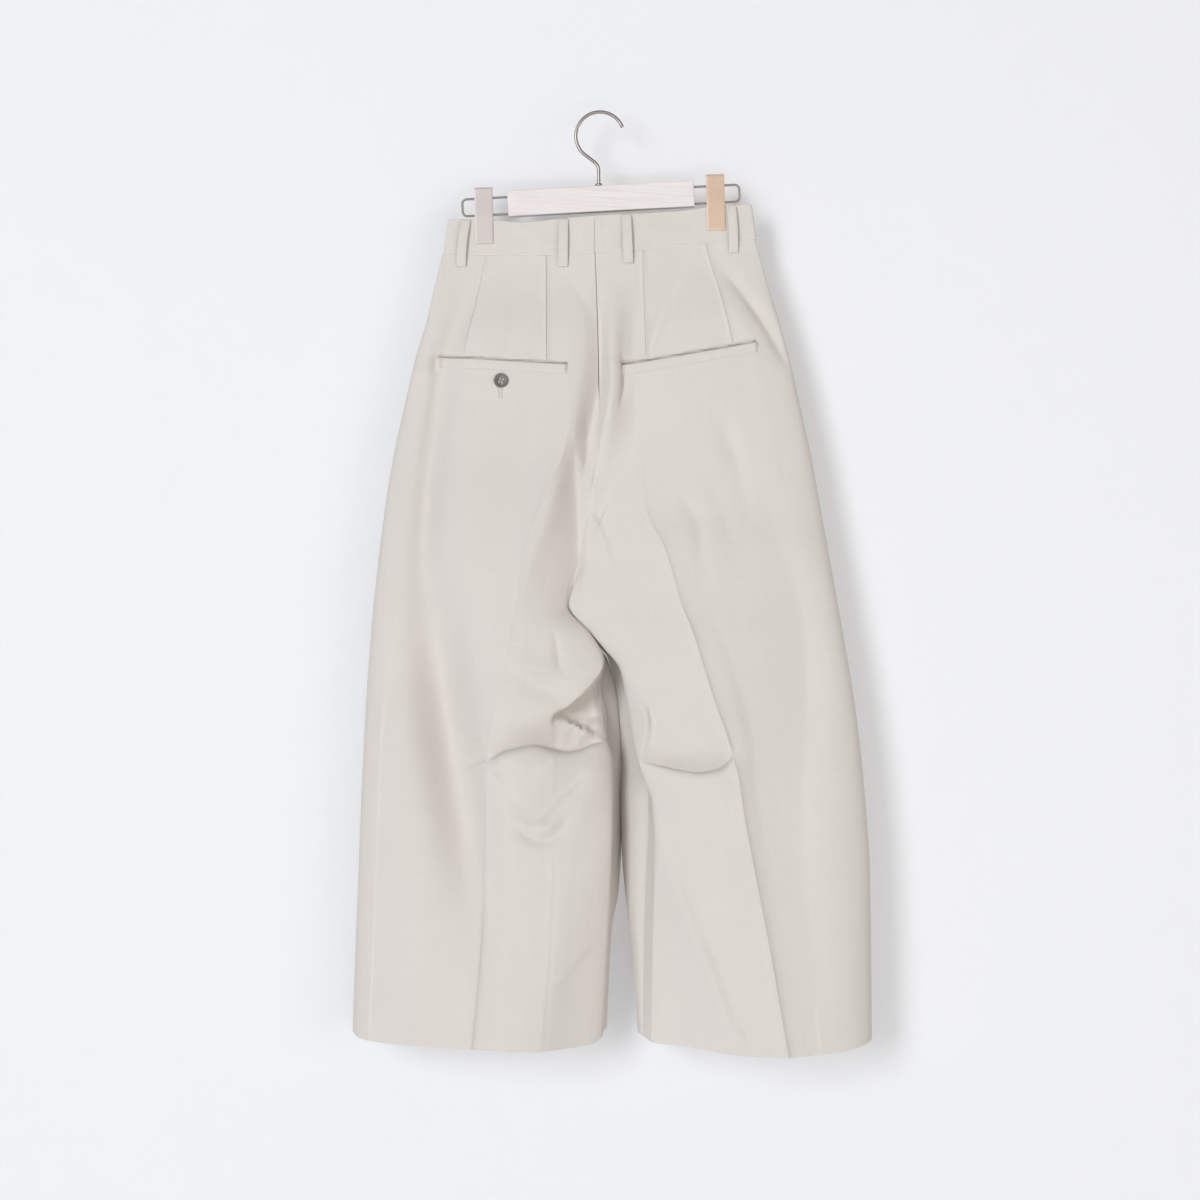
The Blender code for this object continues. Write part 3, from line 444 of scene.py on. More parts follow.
BACK_LEFT_FOLDS = (
    Fold(((-126, -161, -4.5), (-135, -184, -8.5), (-146, -206, -10), (-158, -233, -10.5),
          (-167, -262, -10.5), (-176, -317, -10.5), (-183, -372, -11), (-189, -426, -11),
          (-192, -475, -8), (-191, -524, -3)), 19, 14, 1.9),
    Fold(((-196, -415, -3), (-192, -470, -9), (-188, -513, -15), (-179, -579, -25),
          (-170, -644, -35), (-160, -708, -36), (-152, -751, -32), (-143, -805, -24),
          (-137, -847, -15), (-131, -890, -7), (-128, -926, -1.5)), 32, 29, 1.9),
    Fold(((-88, -164, 0.8), (-92, -207, -1.9), (-98, -257, -1.2)), 8, 8, 2),
    Fold(((5, -599, -11), (0, -610, -21), (-10, -621, -28), (-25, -636, -28), (-38, -649, -23),
          (-47, -656, -15), (-50, -662, -8), (-50, -670, -1.5)), 44, 2.2, 2.2, 12),
    Fold(((-2, -595, 3), (-17, -613, 5), (-37, -633, 5), (-54, -650, 4),
          (-76, -667, 2.5)), 14, 18, 2),
    Fold(((-102, -593, 1.2), (-86, -603, 3.4), (-68, -611, 5), (-51, -615, 5), (-32, -613, 3.7),
          (-2, -613, 1.6)), 12, 2.6, 1.5),
    Fold(((-88, -618, -2.3), (-70, -626, -5.4), (-52, -632, -5.4), (-37, -633, -3.1)), 6, 14, 1.7),
    Fold(((-48, -574, -1.2), (-46, -587, -3.4), (-44, -600, -3.7), (-41, -611, -1.2)), 3.5, 5, 1.5),
    Fold(((-122, -708, -3), (-114, -704, -7), (-105, -699, -12), (-91, -696, -15),
          (-71, -693, -17), (-54, -697, -17), (-37, -700, -15), (-22, -698, -13), (-9, -692, -9),
          (2, -689, -3)), 21, 3.4, 1.5, 6),
    Fold(((-37, -657, -1.6), (-43, -670, -4.7), (-48, -683, -6.2), (-52, -693, -6.2)), 10, 16, 1.8),
    Fold(((-41, -667, -1.6), (-28, -665, -3.1), (-15, -664, -3.1), (-4, -663, -1.6)), 3, 5, 1.6),
    Fold(((-13, -670, -1.6), (-22, -675, -4.7), (-29, -684, -7), (-33, -693, -3.1)), 3, 10, 1.6),
    Fold(((-29, -688, 1.6), (-17, -678, 5.4), (-4, -671, 3.9)), 6, 7, 1.6),
    Fold(((-9, -632, 0.8), (-7, -645, 1.6), (-4, -660, 0.9)), 4, 4, 1.8),
    Fold(((-123, -720, 1), (-102, -716, 3), (-65, -713, 3.6), (-27, -718, 3.2), (0, -722, 3.2),
          (13, -723, 2.4)), 8, 20, 1.7),
    Fold(((-11, -717, -1.2), (-32, -736, -5.3), (-52, -755, -7.1), (-67, -772, -6.2),
          (-72, -781, -1.9)), 4.5, 20, 1.6),
    Fold(((-125, -718, -1.6), (-111, -731, -3.9), (-99, -743, -2.3), (-88, -757, -1.6)), 8, 8, 1.6),
    Fold(((-90, -780, -1.6), (-79, -789, -4.7), (-65, -794, -5.9), (-51, -791, -5.4),
          (-41, -782, -3.9), (-37, -774, -1.6)), 4.5, 6, 1.5),
    Fold(((-67, -776, 1.6), (-57, -780, 3.4), (-47, -775, 1.6)), 5, 5, 1.8),
    Fold(((0, -725, 1.6), (-16, -752, 3.1), (-28, -784, 3.1), (-35, -816, 1.6)), 14, 14, 2),
    Fold(((-153, -685, -1.2), (-145, -687, -3.1), (-130, -688, -1.2)), 3, 5, 1.4),
    Fold(((3, -726, 1), (-13, -806, 6), (-37, -881, 9), (-58, -955, 10),
          (-72, -1015, 10)), 32, 34, 1.9),
    Fold(((-179, -263, -1.2), (-180, -275, -4), (-182, -288, -1.6)), 3, 4, 1.4),
    Fold(((-48, -167, -0.6), (-33, -184, -2), (-19, -203, -2.2), (-9, -222, -0.8)), 5, 8, 1.8),
    Fold(((-7, -906, 0.6), (-23, -921, 2.2), (-37, -938, 2), (-53, -957, 0.6)), 3, 8, 1.4),
)
BACK_RIGHT_FOLDS = (
    Fold(((97, -159, -1.1), (83, -186, -2.8), (71, -213, -3.9), (61, -241, -4.8),
          (54, -263, -4.2)), 8, 7, 1.7),
    Fold(((24, -270, -1.4), (25, -282, -5.6), (25, -302, -5.6), (22, -321, -1.4)), 5, 1.8, 1.3),
    Fold(((121, -146, -1.7), (134, -169, -4.8), (155, -197, -6.4), (177, -228, -6.4),
          (193, -257, -4.8), (206, -278, -1.4)), 9, 6, 1.8),
    Fold(((138, -207, 0.7), (159, -240, 2.1), (180, -284, 0.7)), 8, 10, 2),
    Fold(((90, -426, -1.1), (102, -445, -2.8), (108, -470, -2.8), (110, -497, -1.4)), 10, 8, 1.7),
    Fold(((122, -394, -0.7), (135, -443, -2.1), (148, -492, -0.7)), 14, 12, 2),
    Fold(((24, -609, 1.4), (33, -627, 3.5), (44, -649, 4.9), (51, -663, 4.9), (49, -681, 4.2),
          (44, -710, 2.8)), 5, 10, 1.3),
    Fold(((54, -660, -3.5), (56, -669, -4.2), (54, -680, -2.1)), 7, 2.5, 1.5),
    Fold(((40, -708, -2), (49, -710, -6), (65, -714, -10), (86, -719, -12), (108, -721, -12.5),
          (127, -717, -11), (137, -709, -7), (145, -698, -2.5)), 15, 3.2, 1.5, 5),
    Fold(((44, -722, 1), (76, -733, 2.4), (108, -736, 2.6), (131, -732, 1.5)), 7, 18, 1.7),
    Fold(((112, -535, -0.6), (134, -578, -1.5), (152, -632, -2.5), (164, -680, -3),
          (168, -728, -3), (175, -777, -2), (184, -835, -1.5), (199, -910, -1),
          (214, -985, -0.6)), 34, 9, 1.6),
    Fold(((158, -394, -1), (185, -448, -3), (202, -492, -5), (218, -557, -9), (224, -622, -12),
          (221, -687, -12), (216, -751, -10), (216, -815, -7), (224, -891, -4),
          (231, -966, -2)), 20, 58, 1.6),
    Fold(((135, -339, -1.5), (147, -372, -4), (154, -405, -3), (161, -448, -1)), 9, 13, 1.8),
    Fold(((48, -738, 1), (61, -782, 5), (74, -823, 8), (89, -866, 10), (104, -903, 11),
          (121, -945, 11), (136, -985, 10), (148, -1017, 9)), 44, 34, 1.12),
    Fold(((78, -806, -0.7), (97, -854, -2.8), (114, -897, -3.4), (131, -939, -3.4),
          (148, -987, -2.8)), 22, 6, 1.6),
)
BACK_LEFT_GATHERS = (
    Gather(((-129, -712), (-118, -706), (-107, -700), (-91, -696), (-71, -693), (-54, -697),
            (-37, -700), (-22, -698), (-9, -692), (4, -689)), 0.75, 9, 10),
    Gather(((-49, -660), (-42, -652), (-31, -640), (-13, -624), (-2, -612), (4, -602)),
           0.82, 10, 6),
)
BACK_RIGHT_GATHERS = (
    Gather(((39, -708), (49, -710), (65, -714), (86, -719), (108, -721), (127, -717),
            (137, -709), (147, -698)), 0.7, 9, 10),
)

# Each loop's centre across, how far its foot leans, and the side it is on.
LOOPS = {
    "loop_back_outer_left": (-147.0, -5.5, -1),
    "loop_back_inner_left": (-40.0, -0.6, -1),
    "loop_back_inner_right": (29.0, 2.2, -1),
    "loop_back_outer_right": (144.0, 2.6, -1),
    "loop_front_left": (-92.0, -1.5, 1),
    "loop_front_right": (92.0, 1.5, 1),
}
LOOP_BENDS = {"loop_back_outer_left": -1.2, "loop_back_outer_right": 0.8}
WELT_LINES = {
    "welt_left": ((-176.0, -269.2), (-109.0, -273.8), (-36.5, -278.2)),
    "welt_right": ((24.5, -277.8), (97.8, -266.5), (171.0, -253.4)),
}
SLIT_RISE = 0.8
SLIT_DEPTH = 5.5
SLIT_REACH = 0.95


def slit(name: str) -> tuple[Fold, Gather]:
    """The narrow trough above a welt's upper edge, and the rows drawn to it."""
    line = WELT_LINES[name]
    points = [(x, z + SLIT_RISE, -SLIT_DEPTH) for x, z in line]
    return (Fold(tuple(points), SLIT_REACH, SLIT_REACH, 3.0),
            Gather(tuple((x, z) for x, z, _ in spline(np.array(points), 5)), 0.9, 8.0, 8.0))


FRONT_FOLDS = (
    Fold(((-126, -160, -1), (-142, -205, -3), (-160, -245, -4), (-174, -290, -3),
          (-182, -340, -1)), 11, 12, 1.7),
    Fold(((-40, -300, -1), (-52, -360, -3), (-60, -420, -5), (-74, -480, -4),
          (-90, -540, -2)), 20, 18, 1.7),
    Fold(((-24, -210, 0.5), (-30, -280, 3), (-36, -350, 3), (-50, -430, 2)), 10, 14, 1.7),
    Fold(((-20, -540, -1), (-48, -520, -3), (-82, -508, -2.5), (-112, -504, -1)), 7, 9, 1.6),
    Fold(((-200, -520, -1), (-190, -600, -5), (-176, -700, -7), (-160, -800, -5),
          (-150, -900, -3)), 24, 32, 1.9),
    Fold(((-14, -700, -1), (-56, -710, -4), (-98, -720, -4), (-136, -714, -1)), 10, 13, 1.4),
    Fold(((-60, -800, -1), (-66, -870, -3), (-70, -940, -3), (-74, -1010, -2)), 12, 12, 1.7),
    Fold(((122, -150, -1), (140, -195, -3), (160, -236, -4), (178, -282, -3),
          (188, -330, -1)), 11, 12, 1.7),
    Fold(((44, -300, -1), (52, -360, -3), (60, -420, -5), (74, -480, -4), (90, -540, -2)),
         18, 20, 1.7),
    Fold(((26, -214, 0.5), (32, -290, 3), (40, -360, 2.5), (56, -430, 1.5)), 12, 10, 1.7),
    Fold(((-12, -542, -1), (22, -524, -3), (60, -514, -3), (98, -510, -1)), 8, 9, 1.6),
    Fold(((218, -520, -1), (214, -610, -5), (206, -700, -7), (200, -800, -5), (196, -900, -3)),
         30, 26, 1.9),
    Fold(((44, -704, -1), (84, -716, -4), (124, -722, -4), (160, -712, -1)), 10, 13, 1.4),
    Fold(((88, -810, -1), (98, -880, -3), (106, -945, -3), (114, -1012, -2)), 12, 12, 1.7),
)


@dataclass(frozen=True)
class Spacing:
    """How many columns and rows a panel's grid has."""

    outer: int
    inner: int
    under: int
    above: int
    below: int


FINE = Spacing(outer=84, inner=56, under=18, above=132, below=150)
PLAIN = Spacing(outer=50, inner=34, under=12, above=60, below=90)


@dataclass
class Panel:
    """One cloth panel: its seams, sections and folds, and the side it faces (-1 back, 1 front)."""

    name: str
    side: Columns
    centre: Columns
    inseam: Columns
    sections: Columns
    hem: Columns
    folds: tuple[Fold, ...]
    facing: int
    spacing: Spacing
    gathers: tuple[Gather, ...] = ()
    swell: float = 0.0
    boxiness: float = 2.0

    def inner_seam(self, z: np.ndarray, name: str) -> np.ndarray:
        """A column of the centre seam above the crotch and of the inseam below it."""
        above = along(z, self.centre, name)
        below = along(z, self.inseam, name)
        return np.where(z > CROTCH_Z, above, below)

    def section(self, share: np.ndarray, z: np.ndarray) -> tuple[np.ndarray, ...]:
        """The outer face without its folds.

        Outside the crease the section rises from the side seam as a quarter circle, straightened
        where the crease is pressed. Inside, it falls to the inner edge as a sine or a quarter
        circle, and past the edge it turns under to the seam.

        Args:
            share: Places across, from 0 at the side seam to 1 at the inner seam.
            z: Heights.

        Returns:
            x, y, and how much of a fold's height counts at each place.
        """
        crease_x = along(z, self.sections, "crease_x")
        crease_y = along(z, self.sections, "crease_y")
        press = along(z, self.sections, "press")
        edge_x = along(z, self.sections, "edge_x")
        edge_y = along(z, self.sections, "edge_y")
        turn = along(z, self.sections, "turn")
        side_x = along(z, self.side, "x")
        seam_x = self.inner_seam(z, "x")
        seam_y = self.inner_seam(z, "y")
        face = self.inner_seam(z, "face")

        outer = 1.0 - np.cos(np.clip(share / CREASE_SHARE, 0, 1) * math.pi / 2)
        inner = np.clip((EDGE_SHARE - share) / (EDGE_SHARE - CREASE_SHARE), 0, 1)
        under = np.clip((share - EDGE_SHARE) / (1.0 - EDGE_SHARE), 0, 1)
        outer_rise = mix(dome(outer, self.boxiness), outer, PRESS_STRAIGHTENS_OUTER * press)
        flat_rise = mix(np.sin(inner * math.pi / 2), inner, PRESS_STRAIGHTENS_INNER * press)
        inner_rise = mix(flat_rise, dome(inner), TURN_ROUNDS_INNER * turn)
        turn_x = mix(smooth_step(under), 1.0 - np.cos(under * math.pi / 2), face)
        turn_y = mix(under, np.sin(under * math.pi / 2), face)

        outside = share < CREASE_SHARE
        beyond = share > EDGE_SHARE
        x = np.where(outside, mix(side_x, crease_x, outer), mix(edge_x, crease_x, inner))
        x = np.where(beyond, mix(edge_x, seam_x, mix(under, turn_x, turn)), x)
        roll = self.facing * BAND_GAP_CLIP * dome(np.minimum(np.abs(x - side_x) / BAND_GAP_CLIP, 1))
        y = np.where(outside, mix(roll, crease_y, outer_rise), mix(edge_y, crease_y, inner_rise))
        y = np.where(beyond, mix(edge_y, seam_y, mix(under, turn_y, turn)), y)
        waist = smooth_step((along(x, BAND_FOOT, "z", "x") - z) / WAIST_BLEND)
        y = mix(roll * band_gap(x) / BAND_GAP_CLIP, y, waist)
        depth = np.maximum(along(x, BAND_FOOT, "z", "x") - z, 0.0)
        y = y + roll / BAND_GAP_CLIP * BAND_SEAM_PROUD * np.exp(-(depth / BAND_SEAM_REACH) ** 2)

        held = smooth_step((z - CROTCH_Z) / CROTCH_BLEND)
        calm = smooth_step(outer / CALM_SIDE) * waist * (1.0 - under * (1.0 - held))
        ridge = PRESS_RISE * press * np.exp(-np.abs(x - crease_x) / PRESS_WIDTH)
        y = y + self.facing * calm * np.where(beyond, 0.0, ridge)
        low = smooth_step((SWELL_TOP - z) / SWELL_BLEND)
        x = x + self.swell * low * np.sin(np.clip(outer / SWELL_SHARE, 0, 1) * math.pi)
        return x, y, calm

    def surface(self, share: np.ndarray, z: np.ndarray) -> np.ndarray:
        """The outer face with its folds, as points in millimetres."""
        share, z = np.broadcast_arrays(share, z)
        x, y, calm = self.section(share, z)
        height = np.zeros_like(x)
        moved = np.zeros((*x.shape, 2))
        for fold in self.folds:
            fold.add_to(height, x, z, moved)
        return np.stack((x + moved[..., 0], y + self.facing * calm * height,
                         z + moved[..., 1]), axis=-1)

    def at(self, x: np.ndarray, z: np.ndarray) -> np.ndarray:
        """The outer face over places (x, z), found by halving the span of shares again and again.

        Args:
            x: Places across.
            z: Heights.

        Returns:
            Points in millimetres.
        """
        x, z = np.broadcast_arrays(np.asarray(x, float), np.asarray(z, float))
        low = np.zeros_like(x)
        high = np.full_like(x, EDGE_SHARE)
        hand = np.sign(self.section(high, z)[0] - self.section(low, z)[0])
        for _ in range(26):
            middle = (low + high) / 2
            short = hand * (self.section(middle, z)[0] - x) < 0.0
            low = np.where(short, middle, low)
            high = np.where(short, high, middle)
        return self.surface((low + high) / 2, z)

    def shares(self) -> np.ndarray:
        """Places across: crowded at the side seam, the crease, the edge and the inner seam."""
        outer = np.arccos(1.0 - crowded(self.spacing.outer, 0.9, 0.75)) * CREASE_SHARE * 2 / math.pi
        inner = CREASE_SHARE + crowded(self.spacing.inner, 0.75, 0.5) * (EDGE_SHARE - CREASE_SHARE)
        under = EDGE_SHARE + crowded(self.spacing.under, 0.4, 0.8, 0.1) * (1.0 - EDGE_SHARE)
        return np.concatenate((outer[:-1], inner[:-1], under))

    def grid(self) -> np.ndarray:
        """Points of the outer face, rows from waist to hem and columns from side to inner seam.

        The first and last rows are found by reading the band's foot and the hem at each column's
        own x. The edges are drawn in by the seam's pull and tucked towards the inside.

        Returns:
            Points in millimetres, rows by columns by 3.
        """
        shares = self.shares()[None, :]
        top = np.full_like(shares, -150.0)
        hem = np.full_like(shares, -1012.0)
        for _ in range(4):
            top = along(self.surface(shares, top)[..., 0], BAND_FOOT, "z", "x") + BAND_SEAM_RISE
            hem = along(self.surface(shares, hem)[..., 0], self.hem, "z", "x")
        above = crowded(self.spacing.above, 0.85, 0.0, 0.02)[:-1, None]
        below = crowded(self.spacing.below, 0.0, 0.7, 0.02)[:, None]
        z = np.concatenate((mix(top, CROTCH_Z, above), mix(CROTCH_Z, hem, below)))
        for gather in self.gathers:
            z = gather.move(self.surface(shares, z)[..., 0], z)
        points = self.surface(shares, z)
        near_crotch = np.exp(-((z[:, -1:] - CROTCH_Z) / CROTCH_REACH) ** 2)
        plain = smooth_step((FLAT_SEAM_TOP - z[:, -1:]) / FLAT_SEAM_BLEND)
        flat_pull = (FLAT_SEAM_PULL - SEAM_PULL) * plain + CROTCH_PULL * near_crotch
        for edge, neighbour, more in ((0, 1, 0.0), (-1, -2, flat_pull)):
            inward = points[:, neighbour] - points[:, edge]
            inward /= np.linalg.norm(inward, axis=-1, keepdims=True)
            points[:, edge] += (SEAM_PULL + more) * inward
        run = np.linalg.norm(np.diff(points, axis=1), axis=-1)
        run = np.concatenate((np.zeros_like(run[:, :1]), np.cumsum(run, axis=1)), axis=1)
        edge = np.minimum(run, run[:, -1:] - run)
        tuck = TUCK * np.clip(1.0 - edge / TUCK_REACH, 0.0, 1.0) ** 2
        tuck = tuck * np.where(run > run[:, -1:] / 2, mix(1.0, FLAT_SEAM_TUCK, plain), 1.0)
        normals = grid_normals(points, self.flipped)
        return points - normals * tuck[..., None]

    @property
    def flipped(self) -> bool:
        """True where rows down and columns across make a normal that points inwards."""
        return self.name in ("back_left", "front_right")


PANELS = {
    panel.name: panel for panel in (
        Panel("back_left", SIDE_LEFT, CENTRE_BACK, INSEAM_LEFT, BACK_LEFT, HEM_LEFT,
              BOTH_FOLDS + BACK_LEFT_FOLDS + slit("welt_left")[:1], -1, FINE,
              BACK_LEFT_GATHERS + slit("welt_left")[1:], boxiness=2.9),
        Panel("back_right", SIDE_RIGHT, CENTRE_BACK, INSEAM_RIGHT, BACK_RIGHT, HEM_RIGHT,
              BOTH_FOLDS + BACK_RIGHT_FOLDS + slit("welt_right")[:1], -1, FINE,
              BACK_RIGHT_GATHERS + slit("welt_right")[1:], boxiness=4.2),
        Panel("front_left", SIDE_LEFT, CENTRE_FRONT, INSEAM_LEFT, FRONT_LEFT, HEM_LEFT,
              FRONT_FOLDS, 1, PLAIN),
        Panel("front_right", SIDE_RIGHT, CENTRE_FRONT, INSEAM_RIGHT, FRONT_RIGHT, HEM_RIGHT,
              FRONT_FOLDS, 1, PLAIN, swell=6.0))}


# ---------------------------------------------------------------- meshes

def grid_normals(points: np.ndarray, flipped: bool) -> np.ndarray:
    """Unit normals of a grid: the cross product of its two central differences.

    Args:
        points: Rows by columns by 3.
        flipped: Whether to turn them round.

    Returns:
        A unit vector for each point.
    """
    down = np.gradient(points, axis=0)
    across = np.gradient(points, axis=1)
    normal = np.cross(across, down)
    if flipped:
        normal = -normal
    length = np.linalg.norm(normal, axis=-1, keepdims=True)
    return normal / np.maximum(length, 1e-9)


def quads(index: np.ndarray) -> np.ndarray:
    """The faces of a grid of vertex numbers, one row of four for each cell."""
    return np.stack((index[:-1, :-1], index[:-1, 1:], index[1:, 1:], index[1:, :-1]),
                    axis=-1).reshape(-1, 4)


class Ends(Enum):
    """Which ends of a cloth shell are folded round instead of cut square."""

    NONE = 0
    FOOT = 1
    BOTH = 2


@dataclass
class Shell:
    """A closed cloth: an outer grid, the same grid one thickness inside it, and its edges.

    The inner face lies at the outer point less thickness times the normal. At a folded end the
    two faces meet in a half circle as thick as the cloth.
    """

    outer: np.ndarray
    thickness: np.ndarray | float
    flipped: bool
    ends: Ends = Ends.NONE
    round_steps: int = 3

    def half_circle(self, row: int, normals: np.ndarray, thick: np.ndarray) -> np.ndarray:
        """Rows of points round the end at a row: the centre, plus cosine and sine of the radius.

        Args:
            row: 0 for the top end, -1 for the foot.
            normals: Normals of the outer grid.
            thick: Thickness at each point of the grid.

        Returns:
            The rows between the outer and the inner face.
        """
        beyond = self.outer[row] - self.outer[1 if row == 0 else -2]
        beyond /= np.maximum(np.linalg.norm(beyond, axis=-1, keepdims=True), 1e-9)
        radius = thick[row][:, None] / 2
        centre = self.outer[row] - normals[row] * radius
        angles = np.linspace(0.0, math.pi, self.round_steps + 2)[1:-1, None, None]
        return centre + radius * (np.cos(angles) * normals[row] + np.sin(angles) * beyond)

    def build(self) -> tuple[np.ndarray, np.ndarray, np.ndarray]:
        """Works out the closed shell.

        Returns:
            Its vertices, its faces of four, and a flat place in millimetres for each vertex.
        """
        outer = self.outer
        normals = grid_normals(outer, self.flipped)
        thick = np.broadcast_to(self.thickness, outer.shape[:2])
        inner = (outer - normals * thick[..., None])[::-1]
        flat = self.flat(outer)
        parts = [outer]
        flats = [flat]
        if self.ends is not Ends.NONE:
            foot = self.half_circle(-1, normals, thick)
            parts.append(foot)
            flats.append(np.broadcast_to(flat[-1], foot.shape[:2] + (2,)))
        parts.append(inner)
        flats.append(flat[::-1])
        if self.ends is Ends.BOTH:
            top = self.half_circle(0, normals, thick)[::-1]
            parts.append(top)
            flats.append(np.broadcast_to(flat[0], top.shape[:2] + (2,)))
        points = np.concatenate(parts)
        rows, columns = points.shape[:2]
        index = np.arange(rows * columns).reshape(rows, columns)
        loop = np.vstack((index, index[:1]))
        faces = quads(loop)
        half = len(outer)
        bends = len(parts[1]) if self.ends is not Ends.NONE else 0
        back = index[half + bends:half + bends + half][::-1]
        walls = []
        for column, turned in ((0, False), (-1, True)):
            front_edge = index[:half, column]
            back_edge = back[:, column]
            wall = np.stack((front_edge[:-1], front_edge[1:], back_edge[1:], back_edge[:-1]), -1)
            walls.append(wall[:, ::-1] if turned else wall)
            walls += self.caps(index, half, bends, column, turned)
        faces = np.concatenate([faces, *walls])
        if self.flipped:
            faces = faces[:, ::-1]
        return points.reshape(-1, 3), faces[:, ::-1], np.concatenate(flats).reshape(-1, 2)

    def caps(self, index: np.ndarray, half: int, bends: int, column: int,
             turned: bool) -> list[np.ndarray]:
        """Closes the side of each folded end with faces between its first and last points.

        Args:
            index: Vertex numbers of the whole shell.
            half: How many rows a face has.
            bends: How many rows a folded end has.
            column: The side, 0 or -1.
            turned: Whether the side's faces are turned round.

        Returns:
            The faces, none where the ends are square.
        """
        rings = []
        if bends:
            rings.append(index[half - 1:half + bends + 1, column])
        if self.ends is Ends.BOTH:
            rings.append(np.concatenate((index[2 * half + bends - 1:, column], index[:1, column])))
        faces = []
        for ring in rings:
            count = len(ring)
            pairs = [(ring[i], ring[i + 1], ring[count - 2 - i], ring[count - 1 - i])
                     for i in range((count - 1) // 2)]
            cap = np.array([pair if len(set(pair)) == 4 else (*pair[:3], pair[0])
                            for pair in pairs])
            faces.append(cap[:, ::-1] if turned else cap)
        return faces

    @staticmethod
    def flat(points: np.ndarray) -> np.ndarray:
        """Where each point lies once flat: the lengths run across and down to it."""
        across = np.linalg.norm(np.diff(points, axis=1), axis=-1)
        across = np.concatenate((np.zeros_like(across[:, :1]), np.cumsum(across, axis=1)), axis=1)
        middle = points.shape[1] // 2
        across = across - across[:, middle:middle + 1]
        down = np.linalg.norm(np.diff(points, axis=0), axis=-1)
        down = np.concatenate((np.zeros_like(down[:1]), np.cumsum(down, axis=0)))
        return np.stack((across, down), axis=-1)


def make_mesh(name: str, points: np.ndarray, faces: np.ndarray | Sequence[Sequence[int]],
              flat: np.ndarray | None = None, sharp_degrees: float = 75.0) -> bpy.types.Object:
    """A piece at the origin from points in millimetres.

    Args:
        name: Its name.
        points: Vertices.
        faces: Vertex numbers of each face.
        flat: A flat place in millimetres for each vertex, kept as the UV map in metres.
        sharp_degrees: Edges that turn further than this stay sharp.

    Returns:
        The new object.
    """
    mesh = bpy.data.meshes.new(name)
    rows = [tuple(dict.fromkeys(int(i) for i in face)) for face in np.asarray(faces).tolist()] \
        if isinstance(faces, np.ndarray) else faces
    mesh.from_pydata((points * MM).tolist(), [], rows)
    mesh.shade_smooth()
    mesh.set_sharp_from_angle(angle=math.radians(sharp_degrees))
    if flat is not None:
        layer = mesh.uv_layers.new(name="Cloth")
        corner = np.empty(len(mesh.loops), dtype=np.int32)
        mesh.loops.foreach_get("vertex_index", corner)
        layer.data.foreach_set("uv", (flat[corner] * MM).astype(np.float32).ravel())
    piece = bpy.data.objects.new(name, mesh)
    bpy.context.scene.collection.objects.link(piece)
    return piece


def finish_piece(piece: bpy.types.Object, material: bpy.types.Material,
                 nodes: Sequence[str] = ()) -> bpy.types.Object:
    """Gives a piece its material, its body and the nodes it stands for.

    Args:
        piece: The piece.
        material: Its material.
        nodes: The frame's nodes that it replaces.

    Returns:
        The piece.
    """
    piece.data.materials.append(material)
    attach(piece, "root")
    if nodes:
        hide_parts(*nodes)
    LOG.info("%s: %d faces", piece.name, len(piece.data.polygons))
    return piece


# ---------------------------------------------------------------- finishes

class Wires:
    """A material's or a group's node tree, with short ways to add and join nodes."""

    def __init__(self, tree: bpy.types.NodeTree) -> None:
        """Keeps the tree."""
        self.tree = tree

    def node(self, kind: str, **values: object) -> bpy.types.Node:
        """Adds a node and sets its properties, and its inputs where a name matches one.

        Args:
            kind: The node's type, without its ShaderNode prefix.
            values: Properties or inputs; an underscore stands for a space in an input's name.

        Returns:
            The node.
        """
        node = self.tree.nodes.new("ShaderNode" + kind)
        for key, value in values.items():
            if hasattr(node, key):
                setattr(node, key, value)
        for key, value in values.items():
            if not hasattr(node, key):
                self.feed(node, key.replace("_", " "), value)
        return node

    def feed(self, node: bpy.types.Node, name: str | int, value: object) -> None:
        """Joins an output to an input, or sets the input's value."""
        socket = node.inputs[name]
        if isinstance(value, bpy.types.NodeSocket):
            self.tree.links.new(value, socket)
        else:
            socket.default_value = value

    def math(self, operation: str, first: object, second: object = 0.0) -> bpy.types.NodeSocket:
        """The result of a Math node."""
        node = self.node("Math", operation=operation)
        self.feed(node, 0, first)
        self.feed(node, 1, second)
        return node.outputs[0]

    def blend(self, share: object, first: object, second: object) -> bpy.types.NodeSocket:
        """A colour a share of the way from first to second."""
        node = self.node("Mix", data_type="RGBA")
        for index, value in ((0, share), (6, first), (7, second)):
            if isinstance(value, tuple) and len(value) == 3:
                value = (*value, 1.0)
            self.feed(node, index, value)
        return node.outputs[2]

    def noise(self, vector: object, scale: float, detail: float = 2.0,
              roughness: float = 0.5) -> bpy.types.NodeSocket:
        """A noise value between 0 and 1."""
        node = self.node("TexNoise", Vector=vector, Scale=scale, Detail=detail, Roughness=roughness)
        return node.outputs["Fac"]

    def stretched(self, vector: object, scale: Sequence[float],
                  rotation: Sequence[float] = (0.0, 0.0, 0.0)) -> bpy.types.NodeSocket:
        """A vector scaled and turned by a Mapping node."""
        node = self.node("Mapping", Vector=vector)
        node.inputs["Scale"].default_value = scale
        node.inputs["Rotation"].default_value = rotation
        return node.outputs[0]

    def bump(self, shader: bpy.types.Node, height: object, strength: float, depth: float) -> None:
        """Raises a shader's surface by a height, whose full range is depth metres."""
        bump = self.node("Bump", Height=height, Strength=strength, Distance=depth)
        self.feed(shader, "Normal", bump.outputs[0])


